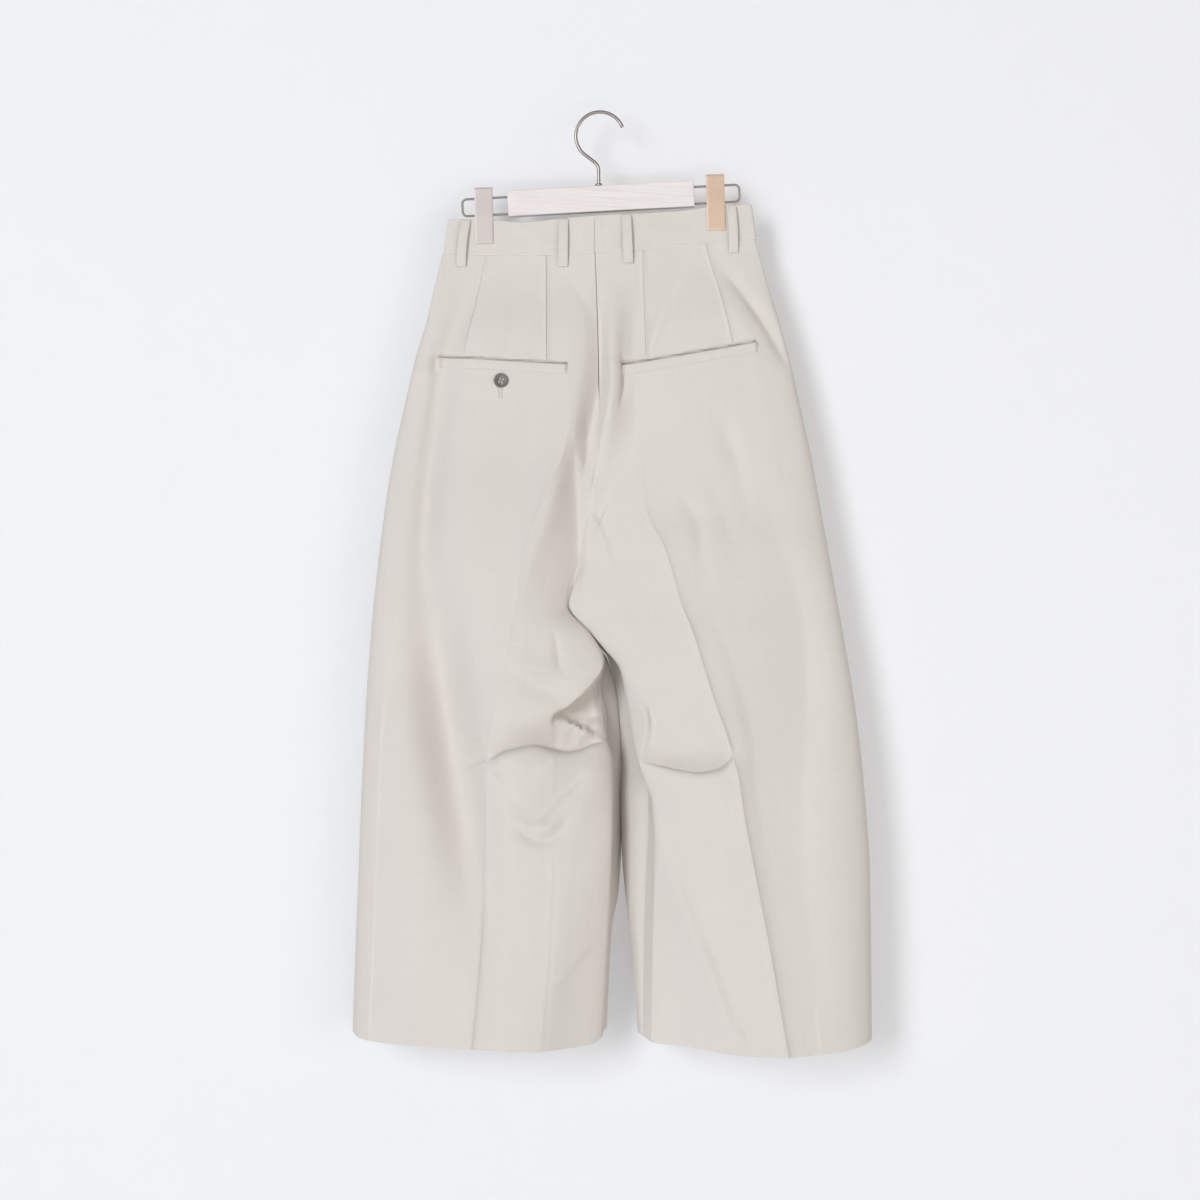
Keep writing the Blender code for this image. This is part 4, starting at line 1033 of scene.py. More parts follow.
class Groups:
    """Shader groups shared by the finishes, each built once."""

    def __init__(self) -> None:
        """Builds them."""
        self.weave = self.make_weave()
        self.mottle = self.make_mottle()

    @staticmethod
    def start(name: str, inputs: dict[str, str], outputs: dict[str, str]) -> tuple:
        """Starts a group with named sockets.

        Args:
            name: The group's name.
            inputs: Socket names and types, such as Float.
            outputs: The same for what it puts out.

        Returns:
            The group, its wires, its input node and its output node.
        """
        group = bpy.data.node_groups.new(name, "ShaderNodeTree")
        for direction, sockets in (("INPUT", inputs), ("OUTPUT", outputs)):
            for socket, kind in sockets.items():
                group.interface.new_socket(socket, in_out=direction, socket_type="NodeSocket" + kind)
        wires = Wires(group)
        return (group, wires, group.nodes.new("NodeGroupInput"),
                group.nodes.new("NodeGroupOutput"))

    def make_weave(self) -> bpy.types.NodeTree:
        """Twill: slanting ribs, crossed by single threads, with thick and thin yarns.

        Returns:
            A group from a flat place and a pitch, in metres, to a height and a yarn shade.
        """
        group, wires, given, out = self.start(
            "Twill weave", {"Place": "Vector", "Pitch": "Float"},
            {"Height": "Float", "Yarn": "Float"})
        part = wires.node("SeparateXYZ", Vector=given.outputs["Place"])
        across = wires.math("DIVIDE", part.outputs[0], given.outputs["Pitch"])
        down = wires.math("DIVIDE", part.outputs[1], given.outputs["Pitch"])
        slant = wires.math("ADD", across, wires.math("MULTIPLY", down, 1.6))
        rib = wires.math("SINE", wires.math("MULTIPLY", slant, 2 * math.pi))
        thread = wires.math("SINE", wires.math("MULTIPLY", across, 4 * math.pi))
        height = wires.math("ADD", rib, wires.math("MULTIPLY", thread, 0.35))
        warp = wires.noise(wires.stretched(given.outputs["Place"], (900.0, 18.0, 1.0)), 1.0, 3.0)
        weft = wires.noise(wires.stretched(given.outputs["Place"], (22.0, 800.0, 1.0)), 1.0, 3.0)
        yarn = wires.math("MULTIPLY", wires.math("ADD", warp, weft), 0.5)
        wires.feed(out, "Height", wires.math("ADD", height, wires.math("MULTIPLY", yarn, 3.0)))
        wires.feed(out, "Yarn", yarn)
        return group

    def make_mottle(self) -> bpy.types.NodeTree:
        """Soft uneven patches from two noises of one scale and a third of it.

        Returns:
            A group from a place and a scale to a mask around one half.
        """
        group, wires, given, out = self.start(
            "Mottle", {"Place": "Vector", "Scale": "Float"}, {"Mask": "Float"})
        broad = wires.node("TexNoise", Vector=given.outputs["Place"], Detail=2.0)
        wires.feed(broad, "Scale", given.outputs["Scale"])
        fine = wires.node("TexNoise", Vector=given.outputs["Place"], Detail=4.0)
        wires.feed(fine, "Scale", wires.math("MULTIPLY", given.outputs["Scale"], 3.0))
        total = wires.math("ADD", broad.outputs["Fac"], fine.outputs["Fac"])
        wires.feed(out, "Mask", wires.math("MULTIPLY", total, 0.5))
        return group

    @staticmethod
    def place(wires: Wires, group: bpy.types.NodeTree, **values: object) -> bpy.types.Node:
        """Puts a group into a material with its own values."""
        node = wires.tree.nodes.new("ShaderNodeGroup")
        node.node_tree = group
        for name, value in values.items():
            wires.feed(node, name, value)
        return node


Colour = tuple[float, float, float]


@dataclass(frozen=True)
class Finish:
    """What every finish has: a name and its two main colours, linear."""

    name: str
    colour: Colour
    second: Colour

    def start(self) -> tuple[bpy.types.Material, Wires, bpy.types.Node]:
        """A new material, its wires and its shader."""
        material = bpy.data.materials.new(self.name)
        material.use_nodes = True
        material.diffuse_color = (*self.colour, 1.0)
        return material, Wires(material.node_tree), material.node_tree.nodes["Principled BSDF"]


@dataclass(frozen=True)
class TwillFinish(Finish):
    """Matte cotton twill: ribs and uneven yarns on the cloth's own flat places."""

    pitch: float = 0.0007
    relief: float = 0.0001

    def build(self, groups: Groups) -> bpy.types.Material:
        """Builds the material.

        Args:
            groups: The shared groups.

        Returns:
            The material.
        """
        material, wires, shader = self.start()
        flat = wires.node("UVMap", uv_map="Cloth").outputs[0]
        space = wires.node("TexCoord").outputs["Object"]
        weave = groups.place(wires, groups.weave, Place=flat, Pitch=self.pitch)
        patch = groups.place(wires, groups.mottle, Place=space, Scale=14.0)
        shade = wires.math("ADD", wires.math("MULTIPLY", weave.outputs["Yarn"], 0.75),
                           wires.math("MULTIPLY", patch.outputs["Mask"], 0.25))
        wires.feed(shader, "Base Color", wires.blend(shade, self.second, self.colour))
        wires.bump(shader, weave.outputs["Height"], 0.6, self.relief)
        shader.inputs["Roughness"].default_value = 0.92
        shader.inputs["Sheen Weight"].default_value = 0.12
        shader.inputs["Sheen Roughness"].default_value = 0.55
        shader.inputs["Specular IOR Level"].default_value = 0.25
        return material


@dataclass(frozen=True)
class WoodFinish(Finish):
    """White-washed wood: a straight fine grain that shows faintly through the paint."""

    tilt: float = 0.0

    def build(self, groups: Groups) -> bpy.types.Material:
        """Builds the material.

        Args:
            groups: The shared groups.

        Returns:
            The material.
        """
        material, wires, shader = self.start()
        space = wires.node("TexCoord").outputs["Object"]
        turned = wires.stretched(space, (1.0, 1.0, 1.0), (0.0, self.tilt, 0.0))
        grain = wires.noise(wires.stretched(turned, (14.0, 260.0, 420.0)), 1.0, 5.0, 0.62)
        pores = wires.noise(wires.stretched(turned, (60.0, 1500.0, 1900.0)), 1.0, 2.0, 0.6)
        patch = groups.place(wires, groups.mottle, Place=turned, Scale=30.0)
        shade = wires.math("ADD", wires.math("MULTIPLY", grain, 0.6),
                           wires.math("MULTIPLY", pores, 0.25))
        shade = wires.math("ADD", shade, wires.math("MULTIPLY", patch.outputs["Mask"], 0.15))
        ramp = wires.node("MapRange", Value=shade)
        ramp.inputs["From Min"].default_value = 0.34
        ramp.inputs["From Max"].default_value = 0.62
        wires.feed(shader, "Base Color", wires.blend(ramp.outputs[0], self.second, self.colour))
        wires.feed(shader, "Roughness", wires.math("ADD", wires.math("MULTIPLY", grain, 0.2), 0.5))
        wires.bump(shader, shade, 0.5, 0.0002)
        return material


@dataclass(frozen=True)
class MetalFinish(Finish):
    """Satin plated metal: fine brushing along one axis and faint handling marks."""

    roughness: float = 0.35
    metallic: float = 1.0
    brushing: tuple[float, float, float] = (2500.0, 2500.0, 60.0)

    def build(self, groups: Groups) -> bpy.types.Material:
        """Builds the material.

        Args:
            groups: The shared groups.

        Returns:
            The material.
        """
        material, wires, shader = self.start()
        space = wires.node("TexCoord").outputs["Object"]
        lines = wires.noise(wires.stretched(space, self.brushing), 1.0, 3.0)
        patch = groups.place(wires, groups.mottle, Place=space, Scale=90.0)
        wires.feed(shader, "Base Color",
                   wires.blend(patch.outputs["Mask"], self.second, self.colour))
        rough = wires.math("ADD", wires.math("MULTIPLY", lines, 0.16),
                           wires.math("MULTIPLY", patch.outputs["Mask"], 0.1))
        wires.feed(shader, "Roughness", wires.math("ADD", rough, self.roughness - 0.13))
        wires.bump(shader, lines, 0.25, 0.00004)
        shader.inputs["Metallic"].default_value = self.metallic
        return material


@dataclass(frozen=True)
class HornFinish(Finish):
    """Mottled horn: streaks of two browns under a soft polish."""

    def build(self, groups: Groups) -> bpy.types.Material:
        """Builds the material.

        Args:
            groups: The shared groups.

        Returns:
            The material.
        """
        material, wires, shader = self.start()
        space = wires.node("TexCoord").outputs["Object"]
        streak = wires.noise(wires.stretched(space, (260.0, 260.0, 90.0), (0.0, 0.6, 0.0)), 1.0,
                             4.0, 0.65)
        patch = groups.place(wires, groups.mottle, Place=space, Scale=220.0)
        shade = wires.math("MULTIPLY", wires.math("ADD", streak, patch.outputs["Mask"]), 0.5)
        ramp = wires.node("MapRange", Value=shade)
        ramp.inputs["From Min"].default_value = 0.38
        ramp.inputs["From Max"].default_value = 0.62
        wires.feed(shader, "Base Color", wires.blend(ramp.outputs[0], self.second, self.colour))
        wires.feed(shader, "Roughness", wires.math("ADD", wires.math("MULTIPLY", shade, 0.2), 0.3))
        wires.bump(shader, shade, 0.2, 0.0001)
        return material


@dataclass(frozen=True)
class ThreadFinish(Finish):
    """Sewing thread: uneven patches of two tones, with a slight bump from the same patches."""

    def build(self, groups: Groups) -> bpy.types.Material:
        """Builds the material.

        Args:
            groups: The shared groups.

        Returns:
            The material.
        """
        material, wires, shader = self.start()
        space = wires.node("TexCoord").outputs["Object"]
        patch = groups.place(wires, groups.mottle, Place=space, Scale=900.0)
        wires.feed(shader, "Base Color",
                   wires.blend(patch.outputs["Mask"], self.second, self.colour))
        wires.bump(shader, patch.outputs["Mask"], 0.6, 0.0001)
        shader.inputs["Roughness"].default_value = 0.7
        return material


@dataclass(frozen=True)
class WallFinish(Finish):
    """Painted plaster, seen only from its own side and clear to light from behind."""

    see_through: bool = False
    glow: float = 0.0

    def build(self, groups: Groups) -> bpy.types.Material:
        """Builds the material.

        Args:
            groups: The shared groups.

        Returns:
            The material.
        """
        material, wires, shader = self.start()
        space = wires.node("TexCoord").outputs["Object"]
        patch = groups.place(wires, groups.mottle, Place=space, Scale=3.0)
        wires.feed(shader, "Base Color",
                   wires.blend(patch.outputs["Mask"], self.second, self.colour))
        shader.inputs["Roughness"].default_value = 0.85
        shader.inputs["Emission Color"].default_value = (*self.colour, 1.0)
        shader.inputs["Emission Strength"].default_value = self.glow
        if self.see_through:
            clear = wires.node("BsdfTransparent")
            behind = wires.node("NewGeometry").outputs["Backfacing"]
            shadow = wires.node("LightPath").outputs["Is Shadow Ray"]
            blend = wires.node("MixShader")
            wires.feed(blend, 0, wires.math("MAXIMUM", behind, shadow))
            wires.feed(blend, 1, shader.outputs[0])
            wires.feed(blend, 2, clear.outputs[0])
            output = material.node_tree.nodes["Material Output"]
            wires.feed(output, "Surface", blend.outputs[0])
        return material


@dataclass
class Finishes:
    """All the materials, built once."""

    groups: Groups = field(default_factory=Groups)

    def __post_init__(self) -> None:
        """Builds each finish from the shared groups."""
        self.twill = TwillFinish("Cotton twill", (0.772, 0.726, 0.669), (0.646, 0.603, 0.554)
                                 ).build(self.groups)
        self.wood = WoodFinish("Washed wood", (0.775, 0.74, 0.72), (0.675, 0.605, 0.575),
                               tilt=HangerSizes.tilt).build(self.groups)
        self.nickel = MetalFinish("Satin nickel", (0.40, 0.37, 0.34), (0.33, 0.30, 0.275)
                                  ).build(self.groups)
        self.taupe = MetalFinish("Satin taupe metal", (0.57, 0.52, 0.49), (0.535, 0.48, 0.455),
                                 roughness=0.5, metallic=0.2).build(self.groups)
        self.wire = MetalFinish("Satin wire", (0.33, 0.30, 0.28), (0.26, 0.235, 0.215),
                                roughness=0.5, metallic=0.2).build(self.groups)
        self.copper = MetalFinish("Satin copper", (0.66, 0.49, 0.365), (0.605, 0.44, 0.33),
                                  roughness=0.5, metallic=0.2).build(self.groups)
        self.horn = HornFinish("Horn", (0.215, 0.192, 0.172), (0.108, 0.09, 0.079)
                               ).build(self.groups)
        self.thread = ThreadFinish("Thread", (0.74, 0.70, 0.64), (0.62, 0.58, 0.52)
                                   ).build(self.groups)
        self.wall = WallFinish("Wall plaster", (0.58, 0.583, 0.59), (0.57, 0.573, 0.58),
                               see_through=True, glow=0.39).build(self.groups)
        self.floor = WallFinish("Floor", (0.80, 0.80, 0.80), (0.78, 0.78, 0.78)
                                ).build(self.groups)


# ---------------------------------------------------------------- the garment

def joined(parts: Sequence[tuple[np.ndarray, np.ndarray]]) -> tuple[np.ndarray, np.ndarray]:
    """Several lots of points and faces of four as one."""
    starts = np.cumsum([0] + [len(points) for points, _ in parts[:-1]])
    return (np.concatenate([points for points, _ in parts]),
            np.concatenate([faces + start for start, (_, faces) in zip(starts, parts)]))


def tube(path: np.ndarray, radii: np.ndarray, sides: int = 16) -> tuple[np.ndarray, np.ndarray]:
    """A round rod along a path, with its ends closed to points.

    Each ring is a circle square to the path: cosine times a first cross direction plus sine times
    a second. The first is the path's direction crossed with Y, or with Z where they agree.

    Args:
        path: Points of its middle.
        radii: Its radius at each.
        sides: How many points round.

    Returns:
        Vertices and faces of four, of which two corners meet at the tips.
    """
    along_it = np.gradient(path, axis=0)
    along_it /= np.linalg.norm(along_it, axis=1, keepdims=True)
    helper = np.where(np.abs(along_it[:, 1:2]) > 0.9, (0.0, 0.0, 1.0), (0.0, 1.0, 0.0))
    first = np.cross(along_it, helper)
    first /= np.linalg.norm(first, axis=1, keepdims=True)
    second = np.cross(along_it, first)
    angles = np.linspace(0.0, 2 * math.pi, sides, endpoint=False)[None, :, None]
    rings = (path[:, None] + radii[:, None, None]
             * (np.cos(angles) * first[:, None] + np.sin(angles) * second[:, None]))
    tips = np.broadcast_to(path[[0, -1], None], (2, sides, 3))
    rings = np.concatenate((tips[:1], rings, tips[1:]))
    index = np.arange(len(rings) * sides).reshape(len(rings), sides)
    index[0] = index[0, 0]
    index[-1] = index[-1, 0]
    faces = quads(np.hstack((index, index[:, :1])))
    return rings.reshape(-1, 3), faces


@dataclass
class Stitches:
    """Thread laid on a surface: short plump capsules end to end along a line."""

    length: float = 2.6
    gap: float = 0.7
    radius: float = 0.26

    def along_line(self, line: np.ndarray, normals: np.ndarray) -> tuple[np.ndarray, np.ndarray]:
        """Capsules along a line of points.

        Each capsule's rings have the radius times a sine's square root, so both ends round off,
        and its middle rises off the cloth by the same curve.

        Args:
            line: Points on the surface.
            normals: The outward direction at each.

        Returns:
            Vertices and faces.
        """
        run = np.concatenate(([0.0], np.cumsum(np.linalg.norm(np.diff(line, axis=0), axis=1))))
        count = max(1, int(run[-1] / (self.length + self.gap)))
        pitch = run[-1] / count
        inside = np.linspace(0.0, 1.0, 6)[None, :]
        places = (np.arange(count)[:, None] + 0.5 + (inside - 0.5) * self.length
                  / (self.length + self.gap)) * pitch
        swell = np.sqrt(np.clip(np.sin(inside * math.pi), 0.02, 1.0))
        centre = np.stack([np.interp(places, run, line[:, i]) for i in range(3)], axis=-1)
        out = np.stack([np.interp(places, run, normals[:, i]) for i in range(3)], axis=-1)
        centre = centre + out * (swell * self.radius * 0.55)[..., None]
        way = np.gradient(centre, axis=1)
        way /= np.linalg.norm(way, axis=-1, keepdims=True)
        side = np.cross(way, out)
        side /= np.linalg.norm(side, axis=-1, keepdims=True)
        angles = np.linspace(0.0, 2 * math.pi, 6, endpoint=False)
        ring = (np.cos(angles)[:, None] * side[..., None, :]
                + np.sin(angles)[:, None] * out[..., None, :])
        points = centre[..., None, :] + ring * (swell * self.radius)[..., None, None]
        index = np.arange(count * 6 * 6).reshape(count, 6, 6)
        index = np.concatenate((index, index[:, :, :1]), axis=2)
        faces = np.stack((index[:, :-1, :-1], index[:, :-1, 1:], index[:, 1:, 1:],
                          index[:, 1:, :-1]), axis=-1).reshape(-1, 4)
        ends = [index[:, row, (0, 1, 2, 3)] for row in (0, 5)]
        more = [index[:, row, (0, 3, 4, 5)] for row in (0, 5)]
        caps = np.concatenate((ends[0][:, ::-1], ends[1], more[0][:, ::-1], more[1]))
        return points.reshape(-1, 3), np.concatenate((faces, caps))[:, ::-1]


@dataclass
class Belt:
    """The waistband in two halves, and where its faces lie."""

    thickness: float = BAND
    columns: int = 96
    turn_columns: int = 14
    rows: int = 26
    round_steps: int = 5

    def path(self, hand: int, front_end: float) -> tuple[np.ndarray, np.ndarray]:
        """Plan of half the band: centre back, round the side as a half circle, centre front.

        Args:
            hand: -1 for the left half and 1 for the right.
            front_end: x where its front ends.

        Returns:
            x and y along the middle of its thickness.
        """
        side = WAIST_HALF_WIDTH - BAND_GAP_CLIP
        start = CENTRE_BACK_X + hand * SEAM_GAP / 2
        back_x = np.linspace(start, hand * side, self.columns)
        front_x = np.linspace(hand * side, front_end, self.columns)
        turn = np.radians(np.linspace(-90.0, 90.0, self.turn_columns))[1:-1]
        x = np.concatenate((back_x, hand * (side + BAND_GAP_CLIP * np.cos(turn)), front_x))
        y = np.concatenate((-band_gap(back_x), BAND_GAP_CLIP * np.sin(turn), band_gap(front_x)))
        if hand > 0:
            lap = smooth_step((LAP_START - x) / LAP_RISE) * (y > 0.0)
            y = y + lap * (BAND + LIE_GAP)
        return x, y

    def half(self, hand: int, front_end: float) -> Shell:
        """One half as a shell folded at its top and foot.

        Args:
            hand: -1 for the left half and 1 for the right.
            front_end: x where its front ends.

        Returns:
            The shell.
        """
        x, y = self.path(hand, front_end)
        share = crowded(self.rows - 1, 0.6, 0.6)[:, None]
        wide = x * (1.0 + WAIST_FLARE * share)
        inset = self.thickness / 2
        top = along(wide, BAND_TOP, "z", "x") - inset
        foot = along(wide, BAND_FOOT, "z", "x") + inset
        middle = np.stack((wide, np.broadcast_to(y, wide.shape), mix(top, foot, share)), axis=-1)
        flipped = hand < 0
        normals = grid_normals(middle, flipped)
        outer = middle + normals * inset
        plump = 0.25 * np.sin(np.clip(share / 0.07, 0, 1) * math.pi / 2) \
            * np.sin(np.clip((1 - share) / 0.05, 0, 1) * math.pi / 2) - 0.25
        outer = outer + normals * (plump + self.creases(wide, outer[..., 2]) * (y < 0))[..., None]
        return Shell(outer, self.thickness, flipped, Ends.BOTH, self.round_steps)

    @staticmethod
    def creases(x: np.ndarray, z: np.ndarray) -> np.ndarray:
        """Soft dents of the band's outside, from its folds."""
        height = np.zeros_like(x)
        for fold in BAND_FOLDS:
            fold.add_to(height, x, z)
        return height

    def face_y(self, x: np.ndarray, z: np.ndarray, facing: int) -> np.ndarray:
        """y of the band's outer face at (x, z), before the dents."""
        top = along(x, BAND_TOP, "z", "x")
        foot = along(x, BAND_FOOT, "z", "x")
        share = np.clip((top - z) / (top - foot), 0.0, 1.0)
        return facing * (band_gap(x / (1.0 + WAIST_FLARE * share)) + self.thickness / 2)


BAND_FOLDS = (
    Fold(((-100, -122, -0.1), (-84, -128, -0.6), (-66, -140, -0.7), (-52, -150, -0.2)), 6, 8, 2),
    Fold(((-112, -136, -0.2), (-96, -144, -0.6), (-80, -152, -0.3)), 5, 6, 2),
    Fold(((20, -118, -0.1), (48, -126, -0.5), (78, -134, -0.5), (100, -138, -0.1)), 7, 8, 2),
    Fold(((-52, -124, 0.3), (-54, -140, 0.4), (-54, -152, 0.2)), 8, 8, 2),
    Fold(((126, -120, -0.2), (112, -130, -0.6), (96, -138, -0.3)), 6, 6, 2),
    Fold(((-20, -120, -0.2), (-24, -134, -0.5), (-26, -148, -0.2)), 6, 6, 2),
)


@dataclass
class Garment:
    """The sewn pieces: panels, band, loops, welts, darts, fly and buttons."""

    finishes: Finishes
    belt: Belt = field(default_factory=Belt)
    stitches: Stitches = field(default_factory=Stitches)
    welt_height: float = 10.5
    welt_thickness: float = 1.3
    loop_width: float = 10.0
    loop_thickness: float = 1.7
    loop_drop: float = 1.0
    loop_tail: float = 12.5
    loop_bulge: float = 2.9
    loop_rows: int = 36
    loop_columns: int = 14
    loop_edge_drop: float = 0.35
    loop_stitch_place: float = 0.66
    loop_groove: float = 0.14
    loop_groove_width: float = 0.1
    welt_columns: int = 90
    welt_rows: int = 16
    welt_lip_end: float = 0.35
    welt_foot_drop: float = 0.25
    bar_tack: Stitches = field(default_factory=lambda: Stitches(1.1, 0.05, 0.35))

    def build(self) -> None:
        """Builds every piece."""
        self.build_panels()
        self.build_band()
        self.build_loops()
        self.build_welts()
        self.build_darts()
        self.build_fly()
        self.build_buttons()

    def face(self, x: np.ndarray, z: np.ndarray, facing: int) -> np.ndarray:
        """Points of the outermost face over (x, z): a panel's or the band's.

        Args:
            x: Places across.
            z: Heights.
            facing: -1 for the back and 1 for the front.

        Returns:
            Points in millimetres.
        """
        side = "back" if facing < 0 else "front"
        x, z = np.broadcast_arrays(np.asarray(x, float), np.asarray(z, float))
        centre = CENTRE_BACK if facing < 0 else CENTRE_FRONT
        middle = along(z, centre, "x")
        left = PANELS[f"{side}_left"].at(np.minimum(x, middle), z)[..., 1]
        right = PANELS[f"{side}_right"].at(np.maximum(x, middle), z)[..., 1]
        y = np.where(x < middle, left, right)
        on_band = z > along(x, BAND_FOOT, "z", "x") - SEAM_GAP
        y = np.where(on_band, self.belt.face_y(x, z, facing), y)
        return np.stack((x, y, z), axis=-1)

    def build_panels(self) -> None:
        """The four cloth panels."""
        for name, panel in PANELS.items():
            outer = panel.grid()
            depth = outer[..., 2] - outer[-1:, :, 2]
            thick = mix(np.array(HEM_CLOTH), CLOTH, smooth_step(depth / HEM_DEPTH))
            shell = Shell(outer, thick, panel.flipped, Ends.FOOT, 4)
            piece = make_mesh(f"cloth_{name}", *shell.build())
            finish_piece(piece, self.finishes.twill, (name,))

    def build_band(self) -> None:
        """The two halves of the waistband."""
        for name, hand, end in (("left", -1, -SEAM_GAP / 2), ("right", 1, -LAP_LENGTH)):
            shell = self.belt.half(hand, end)
            piece = make_mesh(f"band_{name}", *shell.build())
            finish_piece(piece, self.finishes.twill, (f"waistband_{name}",))

    def build_loops(self) -> None:
        """Belt loops: strips sewn down at both ends and proud between, with two stitch rows."""
        threads = []
        for name, (centre, lean, facing) in LOOPS.items():
            half = self.loop_width / 2
            corners = np.array((centre - half, centre + half))
            top = float(np.min(along(corners, BAND_TOP, "z", "x"))) - self.loop_drop
            foot = float(along(np.array(centre), BAND_FOOT, "z", "x")) - self.loop_tail
            down = crowded(self.loop_rows, 0.5, 0.5)[:, None]
            across = crowded(self.loop_columns, 0.7, 0.7)[None, :] * 2 - 1
            z = mix(top, foot, down)
            bend = LOOP_BENDS.get(name, 0.0) * np.sin(np.clip(down, 0, 1) * math.pi)
            x = centre + lean * down + bend + half * across
            ends = centre + lean * down + bend + half * np.array((-1.0, 0.0, 1.0))[None, :]
            face = (facing * self.face(ends, z, facing)[..., 1]).max(axis=1, keepdims=True)
            bulge = self.loop_bulge * np.sin(math.pi * down) ** 0.6
            round_off = self.loop_edge_drop * np.abs(across) ** 6
            off_stitch = (np.abs(across) - self.loop_stitch_place) / self.loop_groove_width
            groove = self.loop_groove * np.exp(-off_stitch ** 2)
            lift = face + LIE_GAP + bulge + self.loop_thickness - round_off - groove
            points = np.stack(np.broadcast_arrays(x, facing * lift, z), axis=-1)
            shell = Shell(points, self.loop_thickness, facing < 0, Ends.BOTH, 3)
            piece = make_mesh(f"cloth_{name}", *shell.build())
            finish_piece(piece, self.finishes.twill, (name,))
            normals = grid_normals(points, facing < 0)
            for place in (-self.loop_stitch_place, self.loop_stitch_place):
                column = int(np.argmin(np.abs(across[0] - place)))
                threads.append(self.stitches.along_line(points[1:-1, column],
                                                        normals[1:-1, column]))
        self.add_thread("loop_stitches", threads)

    def add_thread(self, name: str, parts: Sequence[tuple[np.ndarray, np.ndarray]]) -> None:
        """One piece of thread from many stitches."""
        piece = make_mesh(name, *joined(parts))
        finish_piece(piece, self.finishes.thread)

    def build_welts(self) -> None:
        """Strips below the pocket mouths, with a bar of thread at each end."""
        threads = []
        for name, line in WELT_LINES.items():
            knots = spline(np.array(line, float), 5)
            x = np.linspace(knots[0, 0], knots[-1, 0], self.welt_columns)
            z = np.interp(x, knots[:, 0], knots[:, 1])
            drop = crowded(self.welt_rows, 0.7, 0.7)[:, None] * self.welt_height
            points = self.face(x[None, :], z[None, :] - drop, -1)
            below = (drop / self.welt_height - self.welt_lip_end) / (1.0 - self.welt_lip_end)
            lips = 1.0 - self.welt_foot_drop * smooth_step(below)
            points[..., 1] -= LIE_GAP + self.welt_thickness * lips
            shell = Shell(points, self.welt_thickness, True, Ends.BOTH, 3)
            piece = make_mesh(f"cloth_{name}", *shell.build())
            finish_piece(piece, self.finishes.twill, (name,))
            normals = grid_normals(points, True)
            for column in (1, -2):
                for shift in (0.0, 0.8):
                    bar = points[:, column] + np.array((shift, -0.1, 0.0))
                    threads.append(self.bar_tack.along_line(bar, normals[:, column]))
        self.add_thread("welt_bar_tacks", threads)

    def build_darts(self) -> None:
        """Darts: the cloth swells to two lips beside the seam, with a narrow ditch between."""
        for i, dart in enumerate(DARTS):
            line = spline(np.array(dart.line, float), 14)
            across, share, right = (column[:, None] for column in DITCH.T)
            x = line[:, 0] + across
            z = np.broadcast_to(line[:, 1], x.shape)
            points = self.face(x, z, -1)
            fade = smooth_step(np.linspace(1.0, 0.0, len(line)) / DITCH_FADE)
            lips = mix(np.array(dart.left), dart.right, right)
            points[..., 1] -= share * lips * fade + DITCH_FLOOR * (2.0 * fade - 1.0)
            shell = Shell(points, DITCH_CLOTH, False, Ends.NONE)
            piece = make_mesh(f"dart_{i + 1}", *shell.build())
            finish_piece(piece, self.finishes.twill)

    def build_fly(self) -> None:
        """The placket on the front, with a row of stitches round its free edge."""
        share = np.linspace(0.0, 1.0, 70)[:, None]
        z = FLY_TOP - FLY_LENGTH * share
        rounding = np.maximum(0.0, (share - FLY_STRAIGHT) / FLY_ROUND)
        width = FLY_WIDTH * np.sqrt(1.0 - rounding ** 2)
        across = crowded(22, 0.5, 0.8)[None, :]
        points = self.face(FLY_EDGE + width * across, z, 1)
        round_off = 0.3 * across ** 12
        points[..., 1] += FLY_GAP + CLOTH - round_off
        shell = Shell(points, CLOTH, False, Ends.NONE)
        piece = make_mesh("cloth_fly", *shell.build())
        finish_piece(piece, self.finishes.twill, ("fly",))
        normals = grid_normals(points, False)
        inset = int(np.argmin(np.abs(across[0] - 0.88)))
        thread = self.stitches.along_line(points[:, inset], normals[:, inset])
        self.add_thread("fly_stitches", [thread])

    def build_buttons(self) -> None:
        """Four-hole horn buttons with their thread, and the buttonhole under the back one."""
        button = Button()
        threads = []
        for name, (x, z), facing, lift in (
                ("pocket_button", POCKET_BUTTON, -1, -POCKET_BUTTON_SUNK),
                ("waist_button", LAP_BUTTON, 1, BAND + LIE_GAP)):
            face = self.face(np.array([x]), np.array([z]), facing)[0]
            y = face[1] + facing * (LIE_GAP + lift)
            points, faces = button.disc()
            piece = make_mesh(f"horn_{name}", button.placed(points, x, y, z, facing), faces)
            finish_piece(piece, self.finishes.horn, (name,))
            for part, part_faces in button.threads():
                threads.append((button.placed(part, x, y, z, facing), part_faces))
        self.add_thread("button_thread", threads)
        x, z = POCKET_BUTTON
        down = np.linspace(z + 6.0, z - 20.0, 40)
        face = self.face(np.full_like(down, x - 0.8), down, -1)
        bed = face + np.array((0.0, 0.35, 0.0))
        lips = [tube(bed, np.full(len(bed), 0.8), 10)]
        for side in (-1.7, 1.7):
            line = face + np.array((side, -0.3, 0.0))
            normals = np.broadcast_to((0.0, -1.0, 0.0), line.shape)
            lips.append(Stitches(0.9, 0.12, 0.56).along_line(line, normals))
        self.add_thread("buttonhole_stitches", lips)


@dataclass(frozen=True)
class Dart:
    """A dart's seam line, and how proud the cloth stands to the left and right of it."""

    line: tuple[tuple[float, float], ...]
    left: float
    right: float


